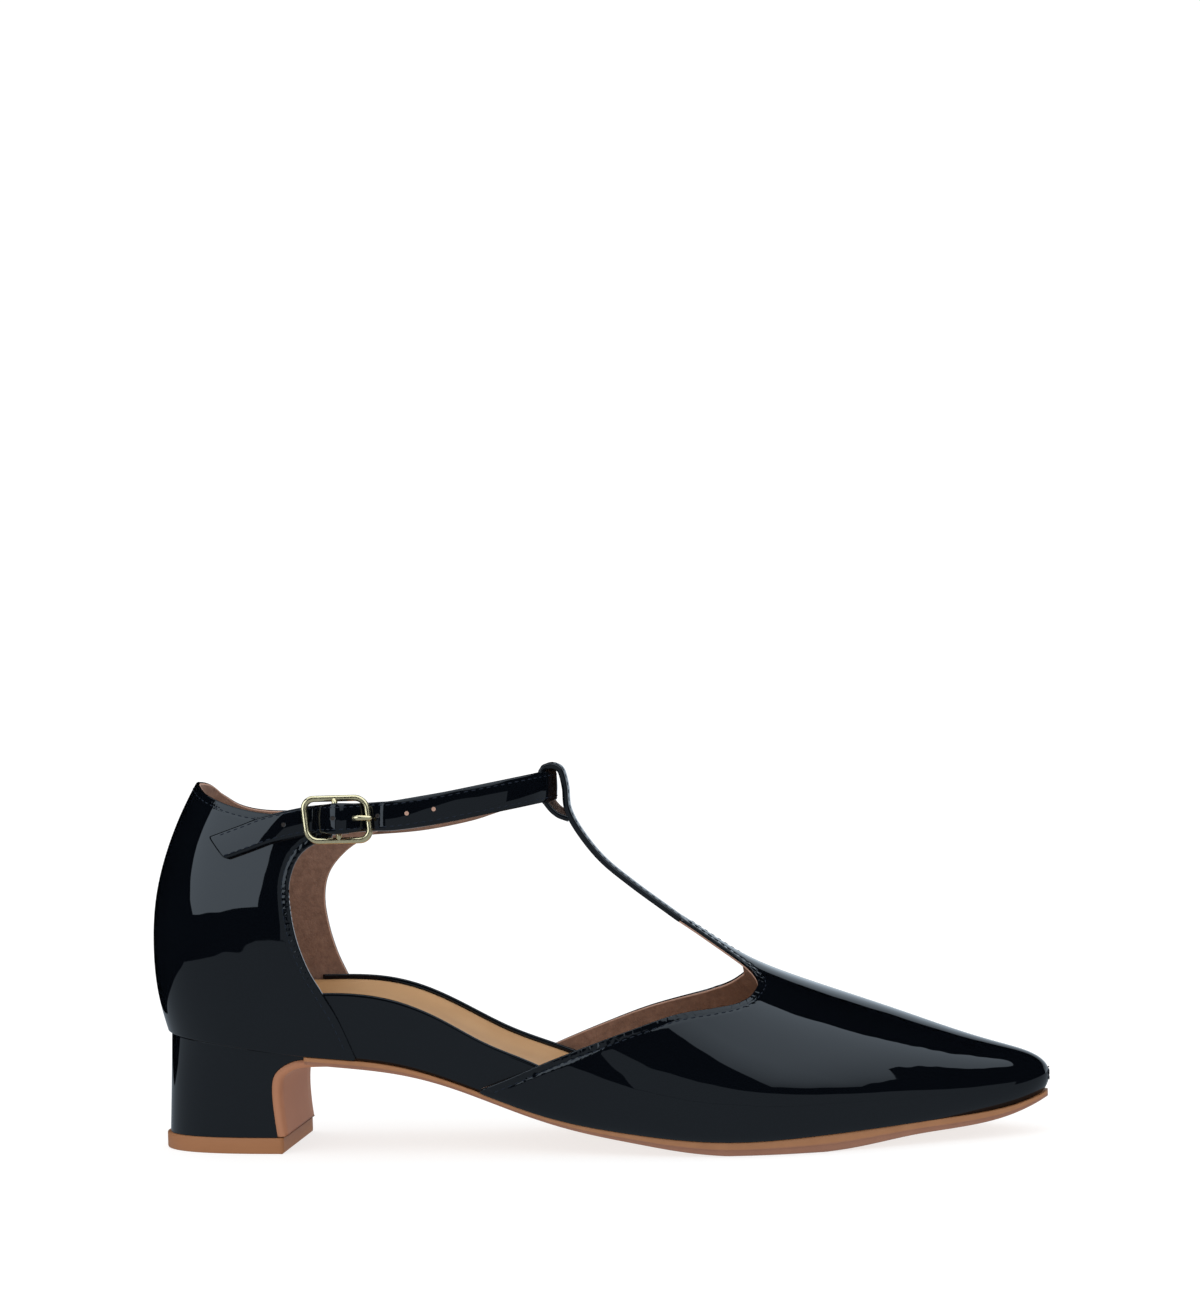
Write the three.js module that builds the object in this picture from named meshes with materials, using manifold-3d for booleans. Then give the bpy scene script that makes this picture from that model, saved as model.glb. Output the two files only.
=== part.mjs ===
// A woman's right T-strap pump: pointed almond toe, open sides, ankle strap with a buckle, low block heel.
// Millimetres. +X points to the toe, -Y is the outer (lateral) side, +Z is up, and the floor is z = 0.
import * as THREE from "three";
import { mergeVertices } from "three/addons/utils/BufferGeometryUtils.js";
import Module from "manifold-3d";

const wasm = await Module();
wasm.setup();

// Overall sizes
const shoeLength = 255; // back of the heel cup to the toe tip
const ballWidth = 77; // sole outline at the ball
const seatWidth = 57; // sole outline at the heel seat
const heelHeight = 33.4; // floor to the heel seat, at the back
const instepHeight = 51; // vamp crest above the floor where the strap begins
const backHeight = 105; // top of the heel cup
const strapHeight = 108.5; // top of the loop

// Walls and layers
const soleThickness = 4; // outsole at the ball
const liftThickness = 4.5;
const flapThickness = 2.2; // outsole turned down the heel breast
const footbedDepth = 18.6; // thickest part of the insole, under the arch
const upperWall = 1.5; // patent and lining together
const overlayStep = 1.1; // vamp and quarter stand this far off the waist band
const strapWidth = 8.6;
const strapThickness = 1.8;
const fit = 0.3; // clearance between pieces that touch

// Heel block
const heelBaseWidth = 45;
const heelBackInset = 3;
const liftEdge = 1; // lift past the heel block at the back

// Ankle opening and buckle
const ankleWidth = 54; // across the ankle strap, outside
const strapDrop = 10.4; // ankle strap's middle beside the buckle, below backHeight
const loopDrop = 7.5; // the same inside the loop, below strapHeight
const loopSlack = 2; // between the loop's front and the ankle strap
const tStrapWidth = 9.8;
const buckleLength = 18.4;
const buckleHeight = 12.8;
const buckleWire = 1.6;
const buckleCorner = 3;
const buckleAhead = 3; // centre bar ahead of the quarter's ear
const freeLength = 37; // strap behind the buckle's bar, to its slanted tip
const freeSlant = 4; // how much further forward its lower corner lies
const tabThickness = 1;
const tabInset = 0.4; // tab narrower than the strap, at each edge
const tabOverlap = 8; // tab inside the quarter's ear
const prongWidth = 1.5;
const prongRing = 0.7; // metal of the ring round the bar
const slotLength = 6.4; // opening in the strap for the prong
const insoleFit = 0.5; // insole inside the wall, all round
const insoleToeGap = 4; // insole's tip behind the sole's
const insoleSink = 0.6; // insole's edge below the band's
const insoleDish = 3.2;
const toeTuck = 2; // insole drawn in where the vamp turns under
const strapFit = 0.5; // strap and tab off the curved wall
const edgeOut = 0.5; // sole's edge past the foot's outline
const edgeStep = 0.6;
const edgeBevel = 2;
const liftFront = 40;

// Ends of the outlines
const toeRoundness = 9; // length over which the toe closes
const heelRoundness = 14;
const noseRoundness = 5; // the same, seen from the side
const soleBack = 4.5;
const soleTipInset = 0.5;

// Sole outline seen from below, as shares of shoeLength and ballWidth
const outline = [
  { along: 0.0, half: 0.34, centre: 0.0 },
  { along: 0.08, half: 0.365, centre: 0.0 },
  { along: 0.16, half: 0.375, centre: -0.004 },
  { along: 0.24, half: 0.367, centre: -0.012 },
  { along: 0.32, half: 0.349, centre: -0.023 },
  { along: 0.4, half: 0.346, centre: -0.04 },
  { along: 0.48, half: 0.382, centre: -0.05 },
  { along: 0.56, half: 0.443, centre: -0.042 },
  { along: 0.63, half: 0.488, centre: -0.022 },
  { along: 0.69, half: 0.498, centre: -0.002 },
  { along: 0.75, half: 0.467, centre: 0.017 },
  { along: 0.81, half: 0.4, centre: 0.028 },
  { along: 0.87, half: 0.313, centre: 0.031 },
  { along: 0.93, half: 0.226, centre: 0.027 },
  { along: 0.97, half: 0.18, centre: 0.024 },
  { along: 1.0, half: 0.158, centre: 0.022 },
];

// Line along the top of the sole's edge and the sole's thickness, as shares of heelHeight and soleThickness,
// and the insole's rise above that line at its outer and inner edges, as shares of footbedDepth
const soleLine = [
  { along: 0.0, height: 1.02, thick: 0.6, rise: 0.64, inner: 0.64 },
  { along: 0.1, height: 0.928, thick: 0.6, rise: 0.79, inner: 0.79 },
  { along: 0.18, height: 0.845, thick: 0.6, rise: 0.93, inner: 0.92 },
  { along: 0.24, height: 0.8, thick: 0.62, rise: 1.0, inner: 0.965 },
  { along: 0.29, height: 0.742, thick: 0.6, rise: 0.985, inner: 0.905 },
  { along: 0.34, height: 0.632, thick: 0.5, rise: 0.9, inner: 0.79 },
  { along: 0.39, height: 0.492, thick: 0.47, rise: 0.78, inner: 0.69 },
  { along: 0.44, height: 0.357, thick: 0.48, rise: 0.745, inner: 0.66 },
  { along: 0.49, height: 0.262, thick: 0.57, rise: 0.6, inner: 0.56 },
  { along: 0.55, height: 0.19, thick: 0.7, rise: 0.42, inner: 0.42 },
  { along: 0.61, height: 0.138, thick: 0.9, rise: 0.32, inner: 0.32 },
  { along: 0.67, height: 0.119, thick: 1.05, rise: 0.28, inner: 0.28 },
  { along: 0.73, height: 0.136, thick: 1.2, rise: 0.26, inner: 0.26 },
  { along: 0.79, height: 0.163, thick: 1.19, rise: 0.26, inner: 0.26 },
  { along: 0.85, height: 0.192, thick: 0.92, rise: 0.26, inner: 0.26 },
  { along: 0.92, height: 0.222, thick: 0.79, rise: 0.25, inner: 0.25 },
  { along: 0.96, height: 0.263, thick: 0.63, rise: 0.24, inner: 0.24 },
  { along: 1.0, height: 0.352, thick: 0.42, rise: 0.22, inner: 0.22 },
];

// Vamp sections: how far the widest line stands out past the sole outline, as a share of ballWidth, its height
// above the sole's edge and the crest's height, as shares of instepHeight, and how square side and top are
const vampSections = [
  { along: 0.36, out: 0.036, widest: 0.22, crest: 2.02, side: 0.5, top: 0.42 },
  { along: 0.46, out: 0.036, widest: 0.2, crest: 1.83, side: 0.5, top: 0.42 },
  { along: 0.54, out: 0.035, widest: 0.185, crest: 1.44, side: 0.5, top: 0.44 },
  { along: 0.6, out: 0.034, widest: 0.17, crest: 1.205, side: 0.5, top: 0.46 },
  { along: 0.66, out: 0.032, widest: 0.16, crest: 1.026, side: 0.5, top: 0.5 },
  { along: 0.72, out: 0.03, widest: 0.145, crest: 0.887, side: 0.5, top: 0.54 },
  { along: 0.78, out: 0.027, widest: 0.13, crest: 0.776, side: 0.5, top: 0.57 },
  { along: 0.84, out: 0.024, widest: 0.115, crest: 0.668, side: 0.51, top: 0.58 },
  { along: 0.9, out: 0.02, widest: 0.105, crest: 0.56, side: 0.53, top: 0.58 },
  { along: 0.95, out: 0.014, widest: 0.097, crest: 0.49, side: 0.55, top: 0.57 },
  { along: 1.0, out: 0.008, widest: 0.085, crest: 0.455, side: 0.5523, top: 0.5523 },
];

// Heel cup by height, a share of backHeight: how far its back lies ahead of the furthest point, a share of
// shoeLength, and its width, a share of the seat's
const heelCup = [
  { height: 0.24, back: 0.024, width: 0.98 },
  { height: 0.32, back: 0.014, width: 1.0 },
  { height: 0.42, back: 0.004, width: 1.045 },
  { height: 0.55, back: 0.0, width: 1.06 },
  { height: 0.68, back: 0.004, width: 1.04 },
  { height: 0.8, back: 0.0165, width: 0.985 },
  { height: 0.9, back: 0.033, width: 0.925 },
  { height: 1.0, back: 0.055, width: 0.86 },
  { height: 1.1, back: 0.082, width: 0.8 },
];

// Side view lines, as shares of shoeLength and backHeight
const topline = [
  { along: 0.0, height: 1.01 },
  { along: 0.05, height: 0.998 },
  { along: 0.075, height: 0.966 },
  { along: 0.11, height: 0.934 },
  { along: 0.15, height: 0.914 },
  { along: 0.18, height: 0.914 },
  { along: 0.205, height: 0.928 },
  { along: 0.25, height: 0.94 },
];
const innerTopline = [
  { along: 0.0, height: 1.01 },
  { along: 0.05, height: 0.998 },
  { along: 0.068, height: 0.955 },
  { along: 0.085, height: 0.922 },
  { along: 0.11, height: 0.904 },
  { along: 0.15, height: 0.897 },
  { along: 0.2, height: 0.893 },
  { along: 0.28, height: 0.893 },
];
const quarterFront = [
  { along: 0.226, inner: 0.25, height: 0.85 },
  { along: 0.2, inner: 0.232, height: 0.828 },
  { along: 0.185, inner: 0.204, height: 0.79 },
  { along: 0.177, inner: 0.181, height: 0.73 },
  { along: 0.178, inner: 0.173, height: 0.66 },
  { along: 0.184, inner: 0.176, height: 0.58 },
  { along: 0.196, inner: 0.185, height: 0.5 },
  { along: 0.211, inner: 0.197, height: 0.435 },
  { along: 0.228, inner: 0.213, height: 0.36 },
  { along: 0.248, inner: 0.233, height: 0.24 },
];
const vampOpening = [
  { along: 0.36, inner: 0.36, height: 0.135 },
  { along: 0.385, inner: 0.385, height: 0.17 },
  { along: 0.42, inner: 0.42, height: 0.206 },
  { along: 0.455, inner: 0.455, height: 0.242 },
  { along: 0.5, inner: 0.5, height: 0.284 },
  { along: 0.55, inner: 0.556, height: 0.327 },
  { along: 0.6, inner: 0.619, height: 0.365 },
  { along: 0.64, inner: 0.63, height: 0.377 },
  { along: 0.665, inner: 0.637, height: 0.385 },
  { along: 0.68, inner: 0.65, height: 0.401 },
  { along: 0.688, inner: 0.664, height: 0.426 },
];
// Half width of the T-strap and of the throat it opens into, as a share of tStrapWidth
const throat = [
  { along: 0.5, half: 0.5 },
  { along: 0.6, half: 0.5 },
  { along: 0.63, half: 0.52 },
  { along: 0.65, half: 0.6 },
  { along: 0.665, half: 0.76 },
  { along: 0.678, half: 1.05 },
  { along: 0.688, half: 1.45 },
];
// Middle of the T-strap, seen from the side, and where its end is turned over: heights are shares of its rise
// from instepHeight to strapHeight
const tStrap = [
  { along: 0.69, height: -0.053 },
  { along: 0.665, height: 0.004 },
  { along: 0.63, height: 0.100 },
  { along: 0.585, height: 0.243 },
  { along: 0.545, height: 0.378 },
  { along: 0.513, height: 0.500 },
  { along: 0.489, height: 0.638 },
  { along: 0.4765, height: 0.751 },
  { along: 0.4745, height: 0.858 },
  { along: 0.4705, height: 0.938 },
  { along: 0.464, height: 0.965 },
  { along: 0.4555, height: 0.968 },
  { along: 0.4475, height: 0.938 },
  { along: 0.447, height: 0.830 },
  { along: 0.4545, height: 0.765 },
  { along: 0.4645, height: 0.722 },
  { along: 0.4765, height: 0.7 },
];
// Ankle strap round the front of the ankle: distance behind its front and across as shares of ankleWidth,
// rise as a share of that from the buckle to the loop, and how it leans
const ankleLoop = [
  { behind: 0.537, across: -0.474, rise: 0.28, lean: 0.1 },
  { behind: 0.352, across: -0.416, rise: 0.54, lean: 0.08 },
  { behind: 0.185, across: -0.309, rise: 0.77, lean: 0.05 },
  { behind: 0.067, across: -0.184, rise: 0.93, lean: 0.02 },
  { behind: 0.0, across: 0.0, rise: 1.0, lean: 0.0 },
  { behind: 0.067, across: 0.184, rise: 0.9, lean: -0.02 },
  { behind: 0.185, across: 0.309, rise: 0.69, lean: -0.05 },
  { behind: 0.352, across: 0.416, rise: 0.39, lean: -0.08 },
  { behind: 0.537, across: 0.474, rise: -0.05, lean: -0.1 },
  { behind: 0.796, across: 0.505, rise: -0.42, lean: -0.12 },
];
// Ends of the ankle strap on the heel cup, lateral and medial: distance behind the buckle's bar as a share of
// buckleLength and rise above strapLevel as a share of strapWidth
const freeEndRows = [
  { behind: 2.05, rise: -0.96 },
  { behind: 1.53, rise: -0.6 },
  { behind: 1.12, rise: -0.31 },
];
const sewnEndRows = [
  { behind: 0.05, rise: -0.42 },
  { behind: 0.54, rise: -0.47 },
  { behind: 1.03, rise: -0.52 },
];

// Heel breast from the sole down to the lift, as shares of shoeLength and heelHeight
const breast = [
  { along: 0.215, height: 0.808 },
  { along: 0.182, height: 0.801 },
  { along: 0.165, height: 0.76 },
  { along: 0.153, height: 0.69 },
  { along: 0.148, height: 0.6 },
  { along: 0.147, height: 0.45 },
  { along: 0.149, height: 0.25 },
  { along: 0.152, height: 0.08 },
];

// Smooth curve through one column of a table
function through(rows, by, column) {
  const x = rows.map((row) => row[by]);
  const y = rows.map((row) => row[column]);
  const last = x.length - 1;
  const bend = new Array(last + 1).fill(0);
  const work = new Array(last + 1).fill(0);
  for (let i = 1; i < last; i++) {
    const share = (x[i] - x[i - 1]) / (x[i + 1] - x[i - 1]);
    const pivot = share * bend[i - 1] + 2;
    bend[i] = (share - 1) / pivot;
    const slopes = (y[i + 1] - y[i]) / (x[i + 1] - x[i]) - (y[i] - y[i - 1]) / (x[i] - x[i - 1]);
    work[i] = ((6 * slopes) / (x[i + 1] - x[i - 1]) - share * work[i - 1]) / pivot;
  }
  for (let i = last - 1; i >= 0; i--) bend[i] = bend[i] * bend[i + 1] + work[i];
  return (at) => {
    const held = Math.min(Math.max(at, x[0]), x[last]);
    let i = 0;
    while (i < last - 1 && held > x[i + 1]) i++;
    const span = x[i + 1] - x[i];
    const b = (held - x[i]) / span;
    const a = 1 - b;
    const curve = ((a ** 3 - a) * bend[i] + (b ** 3 - b) * bend[i + 1]) * span ** 2;
    return a * y[i] + b * y[i + 1] + curve / 6;
  };
}

const outlineHalf = through(outline, "along", "half");
const outlineCentre = through(outline, "along", "centre");
const lineHeight = through(soleLine, "along", "height");
const lineThick = through(soleLine, "along", "thick");
const lineRise = through(soleLine, "along", "rise");
const innerRise = through(soleLine, "along", "inner");
const cupBack = through(heelCup, "height", "back");
const cupWidth = through(heelCup, "height", "width");
const throatHalf = through(throat, "along", "half");
const vampColumn = {};
for (const column of ["out", "widest", "crest", "side", "top"]) {
  vampColumn[column] = through(vampSections, "along", column);
}

// How far an outline has opened, a distance from its rounded end
const opened = (distance, roundness) => Math.sqrt(1 - Math.exp(-Math.max(distance, 0) / roundness));
// 0 before the start, 1 past the end, smooth between
const eased = (at, start, end) => THREE.MathUtils.smootherstep(at, start, end);

// Seat width takes over from ball width towards the heel
const rearScale = (x) => {
  const seat = seatWidth / (2 * ballWidth * outline[2].half);
  return 1 + (seat * 0.987 - 1) * (1 - eased(x, 0.3 * shoeLength, 0.5 * shoeLength));
};
const soleHalf = (x) => outlineHalf(x / shoeLength) * ballWidth * rearScale(x);
const centreLine = (x) => outlineCentre(x / shoeLength) * ballWidth;
const soleTip = shoeLength - soleTipInset;
const soleEdge = (x) => {
  return soleHalf(x) * opened(soleTip - x, toeRoundness) * opened(x - soleBack, heelRoundness);
};
const soleTop = (x) => lineHeight(x / shoeLength) * heelHeight;
const soleBottom = (x) => Math.max(0, soleTop(x) - lineThick(x / shoeLength) * soleThickness);
const footbedEdge = (x, side) => {
  return soleTop(x) + (side < 0 ? lineRise(x / shoeLength) : innerRise(x / shoeLength)) * footbedDepth;
};

// Closed solid through rings of points, with its ends closed by fans or joined to each other
function loft(rings, joined = false) {
  const count = rings[0].length;
  const points = rings.flat();
  const faces = [];
  const last = rings.length - 1;
  for (let i = 0; i < (joined ? last + 1 : last); i++) {
    for (let j = 0; j < count; j++) {
      const a = i * count + j;
      const b = i * count + ((j + 1) % count);
      const c = ((i + 1) % rings.length) * count + j;
      const d = ((i + 1) % rings.length) * count + ((j + 1) % count);
      faces.push(a, b, d, a, d, c);
    }
  }
  if (!joined) {
    for (const end of [0, last]) {
      const middle = new THREE.Vector3();
      rings[end].forEach((point) => middle.addScaledVector(point, 1 / count));
      points.push(middle);
      for (let j = 0; j < count; j++) {
        const a = end * count + j;
        const b = end * count + ((j + 1) % count);
        if (end === 0) faces.push(b, a, points.length - 1);
        else faces.push(a, b, points.length - 1);
      }
    }
  }
  const geometry = new THREE.BufferGeometry().setFromPoints(points);
  geometry.setIndex(faces);
  return geometry;
}

// three.js geometry to a solid that can be joined and cut, with its faces turned outwards
function solid(geometry) {
  const bare = geometry.clone();
  bare.deleteAttribute("normal");
  bare.deleteAttribute("uv");
  const merged = mergeVertices(bare, 1e-4);
  const build = (triVerts) => {
    const vertProperties = merged.attributes.position.array;
    return new wasm.Manifold(new wasm.Mesh({ numProp: 3, vertProperties, triVerts }));
  };
  const triVerts = new Uint32Array(merged.index.array);
  const made = build(triVerts);
  return made.volume() > 0 ? made : build(triVerts.reverse());
}

function geometryOf(body) {
  const mesh = body.getMesh();
  const geometry = new THREE.BufferGeometry();
  geometry.setAttribute("position", new THREE.BufferAttribute(mesh.vertProperties, 3));
  geometry.setIndex(new THREE.BufferAttribute(mesh.triVerts, 1));
  geometry.computeVertexNormals();
  return geometry;
}

// Prism of a side view outline, from one side of the shoe to the other
function sidePrism(points, from = -ballWidth, to = ballWidth) {
  const shape = new THREE.Shape(points.map(([x, z]) => new THREE.Vector2(x, z)));
  const geometry = new THREE.ExtrudeGeometry(shape, { depth: to - from, bevelEnabled: false });
  geometry.rotateX(Math.PI / 2);
  geometry.translate(0, to, 0);
  return solid(geometry);
}
// Prism of a plan outline
function planPrism(points, from, to) {
  const shape = new THREE.Shape(points.map(([x, y]) => new THREE.Vector2(x, y)));
  const geometry = new THREE.ExtrudeGeometry(shape, { depth: to - from, bevelEnabled: false });
  geometry.translate(0, 0, from);
  return solid(geometry);
}

const steps = (from, to, count) => {
  return Array.from({ length: count + 1 }, (_, i) => from + ((to - from) * i) / count);
};
// Places from one end to the other, drawn together towards the far end
const closingSteps = (from, to, count) => {
  return steps(0, 1, count).map((share) => from + (to - from) * Math.sin((share * Math.PI) / 2));
};
const tablePoints = (rows, tall, column = "along") => {
  const points = rows.map((row) => new THREE.Vector2(row[column] * shoeLength, row.height * tall));
  return new THREE.SplineCurve(points).getPoints(2 * (rows.length - 1)).map((p) => [p.x, p.y]);
};

// Everything below the top of the sole's edge, raised or lowered by a clearance
function belowSole(clearance) {
  const line = steps(-0.1 * shoeLength, 1.1 * shoeLength, 90).map((x) => [x, soleTop(x) + clearance]);
  return sidePrism([...line, [1.1 * shoeLength, -heelHeight], [-0.1 * shoeLength, -heelHeight]]);
}

// A point of the vamp's outer face: around 0 is underneath, 1 the lateral side, 2 the crest, 3 the medial one
function vampPoint(x, around) {
  const share = x / shoeLength;
  const ahead = opened(shoeLength - x, toeRoundness);
  const half = (soleHalf(x) + vampColumn.out(share) * ballWidth) * ahead;
  const middle = soleTop(x) + vampColumn.widest(share) * instepHeight;
  const crest = vampColumn.crest(share) * instepHeight;
  const nose = opened(shoeLength - x, noseRoundness);
  const quarterTurn = Math.floor(around);
  const lower = quarterTurn === 0 || quarterTurn === 3;
  const tall = lower ? -(middle - soleTop(x) + 4) * nose : (crest - middle) * nose;
  const roundEnd = 0.5523;
  const square = lower ? roundEnd + 0.4 * eased(shoeLength - x, 0, 0.2 * shoeLength) : 0;
  const side = lower ? square : vampColumn.side(share);
  const top = lower ? square : vampColumn.top(share);
  // 0 at the widest line, 1 underneath or at the crest
  const turn = quarterTurn % 2 === 0 ? 1 - (around - quarterTurn) : around - quarterTurn;
  const s = 1 - turn;
  const across = s ** 3 + 3 * s * s * turn + 3 * s * turn * turn * top;
  const up = 3 * s * s * turn * side + 3 * s * turn * turn + turn ** 3;
  const sign = around < 2 ? -1 : 1;
  return new THREE.Vector3(x, centreLine(x) + sign * across * half, middle + up * tall);
}

// A point moved in from a face by its own normal there
function inset(point, u, v, du, dv, depth) {
  const at = point(u, v);
  if (depth === 0) return at;
  const alongU = point(u + du, v).sub(point(u - du, v));
  const alongV = point(u, v + dv).sub(point(u, v - dv));
  const normal = alongU.cross(alongV).normalize();
  return at.addScaledVector(normal, depth);
}

const strapRoot = 0.66 * shoeLength; // the T-strap takes over from the vamp's own crest here
const flapStart = 0.188 * shoeLength;
const vampBack = 0.36 * shoeLength;
function vampBody(depth) {
  const stations = closingSteps(vampBack - depth, shoeLength - 0.12, 26);
  const perQuarter = 7;
  const rings = stations.map((x) => {
    return steps(0, 4, 4 * perQuarter).slice(0, -1).map((around) => {
      return inset(vampPoint, x, around + 0.002, 0.05, 0.001, -depth);
    });
  });
  return solid(loft(rings));
}

// A point of the heel cup's outer face: station along the shoe, height, and side -1 lateral or 1 medial
function cupPoint(station, z, side, out = 0) {
  const share = z / backHeight;
  const back = cupBack(share) * shoeLength * (1 - eased(station, 0.05 * shoeLength, 0.26 * shoeLength));
  const half = (soleHalf(station) * cupWidth(share) + out) * opened(station, heelRoundness);
  return new THREE.Vector3(station + back, centreLine(station) + side * half, z);
}

function cupBody(depth, front) {
  const levels = steps(0.22 * backHeight, 1.1 * backHeight, 14);
  const stations = closingSteps(front, 0, 14);
  const rings = levels.map((z) => {
    const lateral = stations.slice(0, -1).map((s) => cupInset(s, z, -1, depth));
    const medial = stations.slice(0, -1).map((s) => cupInset(s, z, 1, depth)).reverse();
    return [...lateral, cupInset(0, z, -1, depth), ...medial];
  });
  return solid(loft(rings));
}
function cupInset(station, z, side, depth) {
  const out = overlayStep;
  if (station < 1e-6) {
    const at = cupPoint(0, z, side, out);
    at.x += depth;
    at.y = centreLine(0);
    return at;
  }
  const point = (u, v) => cupPoint(u * u, v, side, out);
  return inset(point, Math.sqrt(station), z, 1e-3, 0.05, side * depth);
}

// Waist band: half width at a place along the shoe and a height
const bandOut = 1.5;
function bandHalf(x, z, side) {
  const share = (z - soleTop(x)) / (footbedEdge(x, side) - soleTop(x));
  return soleEdge(x) + bandOut * Math.sin((Math.PI / 2) * THREE.MathUtils.clamp(share, -0.3, 1));
}
const bandFrom = 0.17 * shoeLength;
const bandTo = 0.475 * shoeLength;
function bandBody(side) {
  const rings = steps(bandFrom, bandTo, 20).map((x) => {
    const low = soleTop(x) + fit;
    const face = steps(low, footbedEdge(x, side), 3);
    const at = (z, depth) => {
      return new THREE.Vector3(x, centreLine(x) + side * (bandHalf(x, z, side) - depth), z);
    };
    const outer = face.map((z) => at(z, 0));
    const inner = face.reverse().map((z) => at(z, upperWall));
    return [...outer, ...inner];
  });
  return solid(loft(rings));
}

// Side openings: past the T-strap's edge and above the vamp's topline
function openingBody(side) {
  const line = tablePoints(vampOpening, backHeight, side < 0 ? "along" : "inner");
  const from = bandFrom;
  const to = line[line.length - 1][0];
  const high = 1.2 * strapHeight;
  const above = sidePrism([...line, [to, high], [from, high], [from, line[0][1]]]);
  const edge = steps(from, to, 40).map((x) => {
    return [x, centreLine(x) * 0.4 + side * throatHalf(x / shoeLength) * tStrapWidth];
  });
  const far = side * ballWidth;
  return above.intersect(planPrism([...edge, [to, far], [from, far]], 0, high));
}

// Flat strap along a path, with a soft edge: its width stands along "up", its thickness across that
function ribbon(path, upPath, width, thickness, count) {
  const rings = steps(0, 1, count).map((t) => {
    const at = path.getPoint(t);
    const tangent = path.getTangent(t);
    const up = upPath.getPoint(t).sub(at);
    up.addScaledVector(tangent, -up.dot(tangent)).normalize();
    const out = new THREE.Vector3().crossVectors(tangent, up).normalize();
    const half = width / 2;
    const deep = thickness / 2;
    const soft = 0.35 * thickness;
    const corner = (u, o) => at.clone().addScaledVector(up, u).addScaledVector(out, o);
    const end = (sign) => {
      return [
        corner(sign * (half - soft), sign * deep), corner(sign * half, sign * (deep - soft)),
        corner(sign * half, sign * (soft - deep)), corner(sign * (half - soft), -sign * deep),
      ];
    };
    return [...end(1), ...end(-1)];
  });
  return solid(loft(rings));
}
const smoothPath = (points) => new THREE.CatmullRomCurve3(points, false, "catmullrom", 0.5);

function tStrapBody() {
  const at = (row, y) => {
    const z = THREE.MathUtils.lerp(instepHeight, strapHeight, row.height);
    return new THREE.Vector3(row.along * shoeLength, y, z);
  };
  const middle = smoothPath(tStrap.map((row) => at(row, 0)));
  const side = smoothPath(tStrap.map((row) => at(row, 1)));
  return ribbon(middle, side, tStrapWidth, upperWall, 40);
}

function vampUpper() {
  const shell = vampBody(0).subtract(vampBody(upperWall)).subtract(belowSole(fit));
  const low = 0.5 * instepHeight;
  const high = 2 * strapHeight;
  const strapSpan = [[bandFrom, low], [strapRoot, low], [strapRoot, high], [bandFrom, high]];
  const behindStrap = sidePrism(strapSpan, -tStrapWidth, tStrapWidth);
  return shell.subtract(openingBody(-1)).subtract(openingBody(1)).subtract(behindStrap);
}

const cupFront = 0.27 * shoeLength;
function quarterUpper() {
  const inside = cupBody(upperWall, cupFront + upperWall * 4);
  const top = 1.3 * backHeight;
  const above = (rows, from, to) => {
    return sidePrism([...tablePoints(rows, backHeight), [cupFront, top], [0, top]], from, to);
  };
  const far = 0.4 * shoeLength;
  const ahead = (column, from, to) => {
    const front = tablePoints(quarterFront, backHeight, column);
    return sidePrism([...front, [far, 0], [far, top], [front[0][0], top]], from, to);
  };
  const cup = cupBody(0, cupFront).subtract(inside).subtract(belowSole(fit));
  const lateral = cup.subtract(above(topline, -ballWidth, 0)).subtract(ahead("along", -ballWidth, 0));
  return lateral.subtract(above(innerTopline, 0, ballWidth)).subtract(ahead("inner", 0, ballWidth));
}

function upperBody() {
  return vampUpper().add(quarterUpper()).add(bandBody(-1)).add(bandBody(1)).add(tStrapBody());
}

// Outline of the sole drawn in by a distance
function edgeInset(x, distance, toeDistance = distance) {
  const toe = opened(soleTip - toeDistance - x, toeRoundness);
  return Math.max(soleHalf(x) - distance, 0.5) * toe * opened(x - soleBack - distance, heelRoundness);
}

// Contoured insole: its sides follow the wall around it, its top is dished
function insoleBody() {
  const middle = 0.2 * shoeLength;
  const gap = upperWall + insoleFit;
  const back = soleBack + gap;
  const stations = [
    ...closingSteps(middle, back + 0.3, 9).reverse().slice(0, -1),
    ...closingSteps(middle, soleTip - insoleToeGap - 0.4, 26),
  ];
  const rings = stations.map((x) => {
    const low = soleTop(x) + 1.5 * fit;
    const edge = (share) => {
      return THREE.MathUtils.lerp(footbedEdge(x, -1), footbedEdge(x, 1), (share + 1) / 2) - insoleSink;
    };
    const tucked = toeTuck * eased(x, 0.7 * shoeLength, 0.94 * shoeLength);
    const base = edgeInset(x, gap + tucked, insoleToeGap + tucked);
    const flare = 0.8 * bandOut * opened(soleTip - insoleToeGap - x, toeRoundness);
    const at = (share, z, out) => new THREE.Vector3(x, centreLine(x) + share * (base + out), z);
    const dish = insoleDish * (1 - 0.75 * eased(x, 0.35 * shoeLength, 0.65 * shoeLength));
    const depth = dish * Math.min(1, (2 * base) / heelBaseWidth);
    const top = steps(-1, 1, 8).map((share) => {
      return at(share, edge(share) - depth * (1 - share ** 4) * (1 - 0.25 * share * share), flare);
    });
    const side = (sign) => at(sign, (low + edge(sign)) / 2, 0.8 * flare);
    return [side(1), at(1, low, 0), at(-1, low, 0), side(-1), ...top];
  });
  return solid(loft(rings));
}

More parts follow.
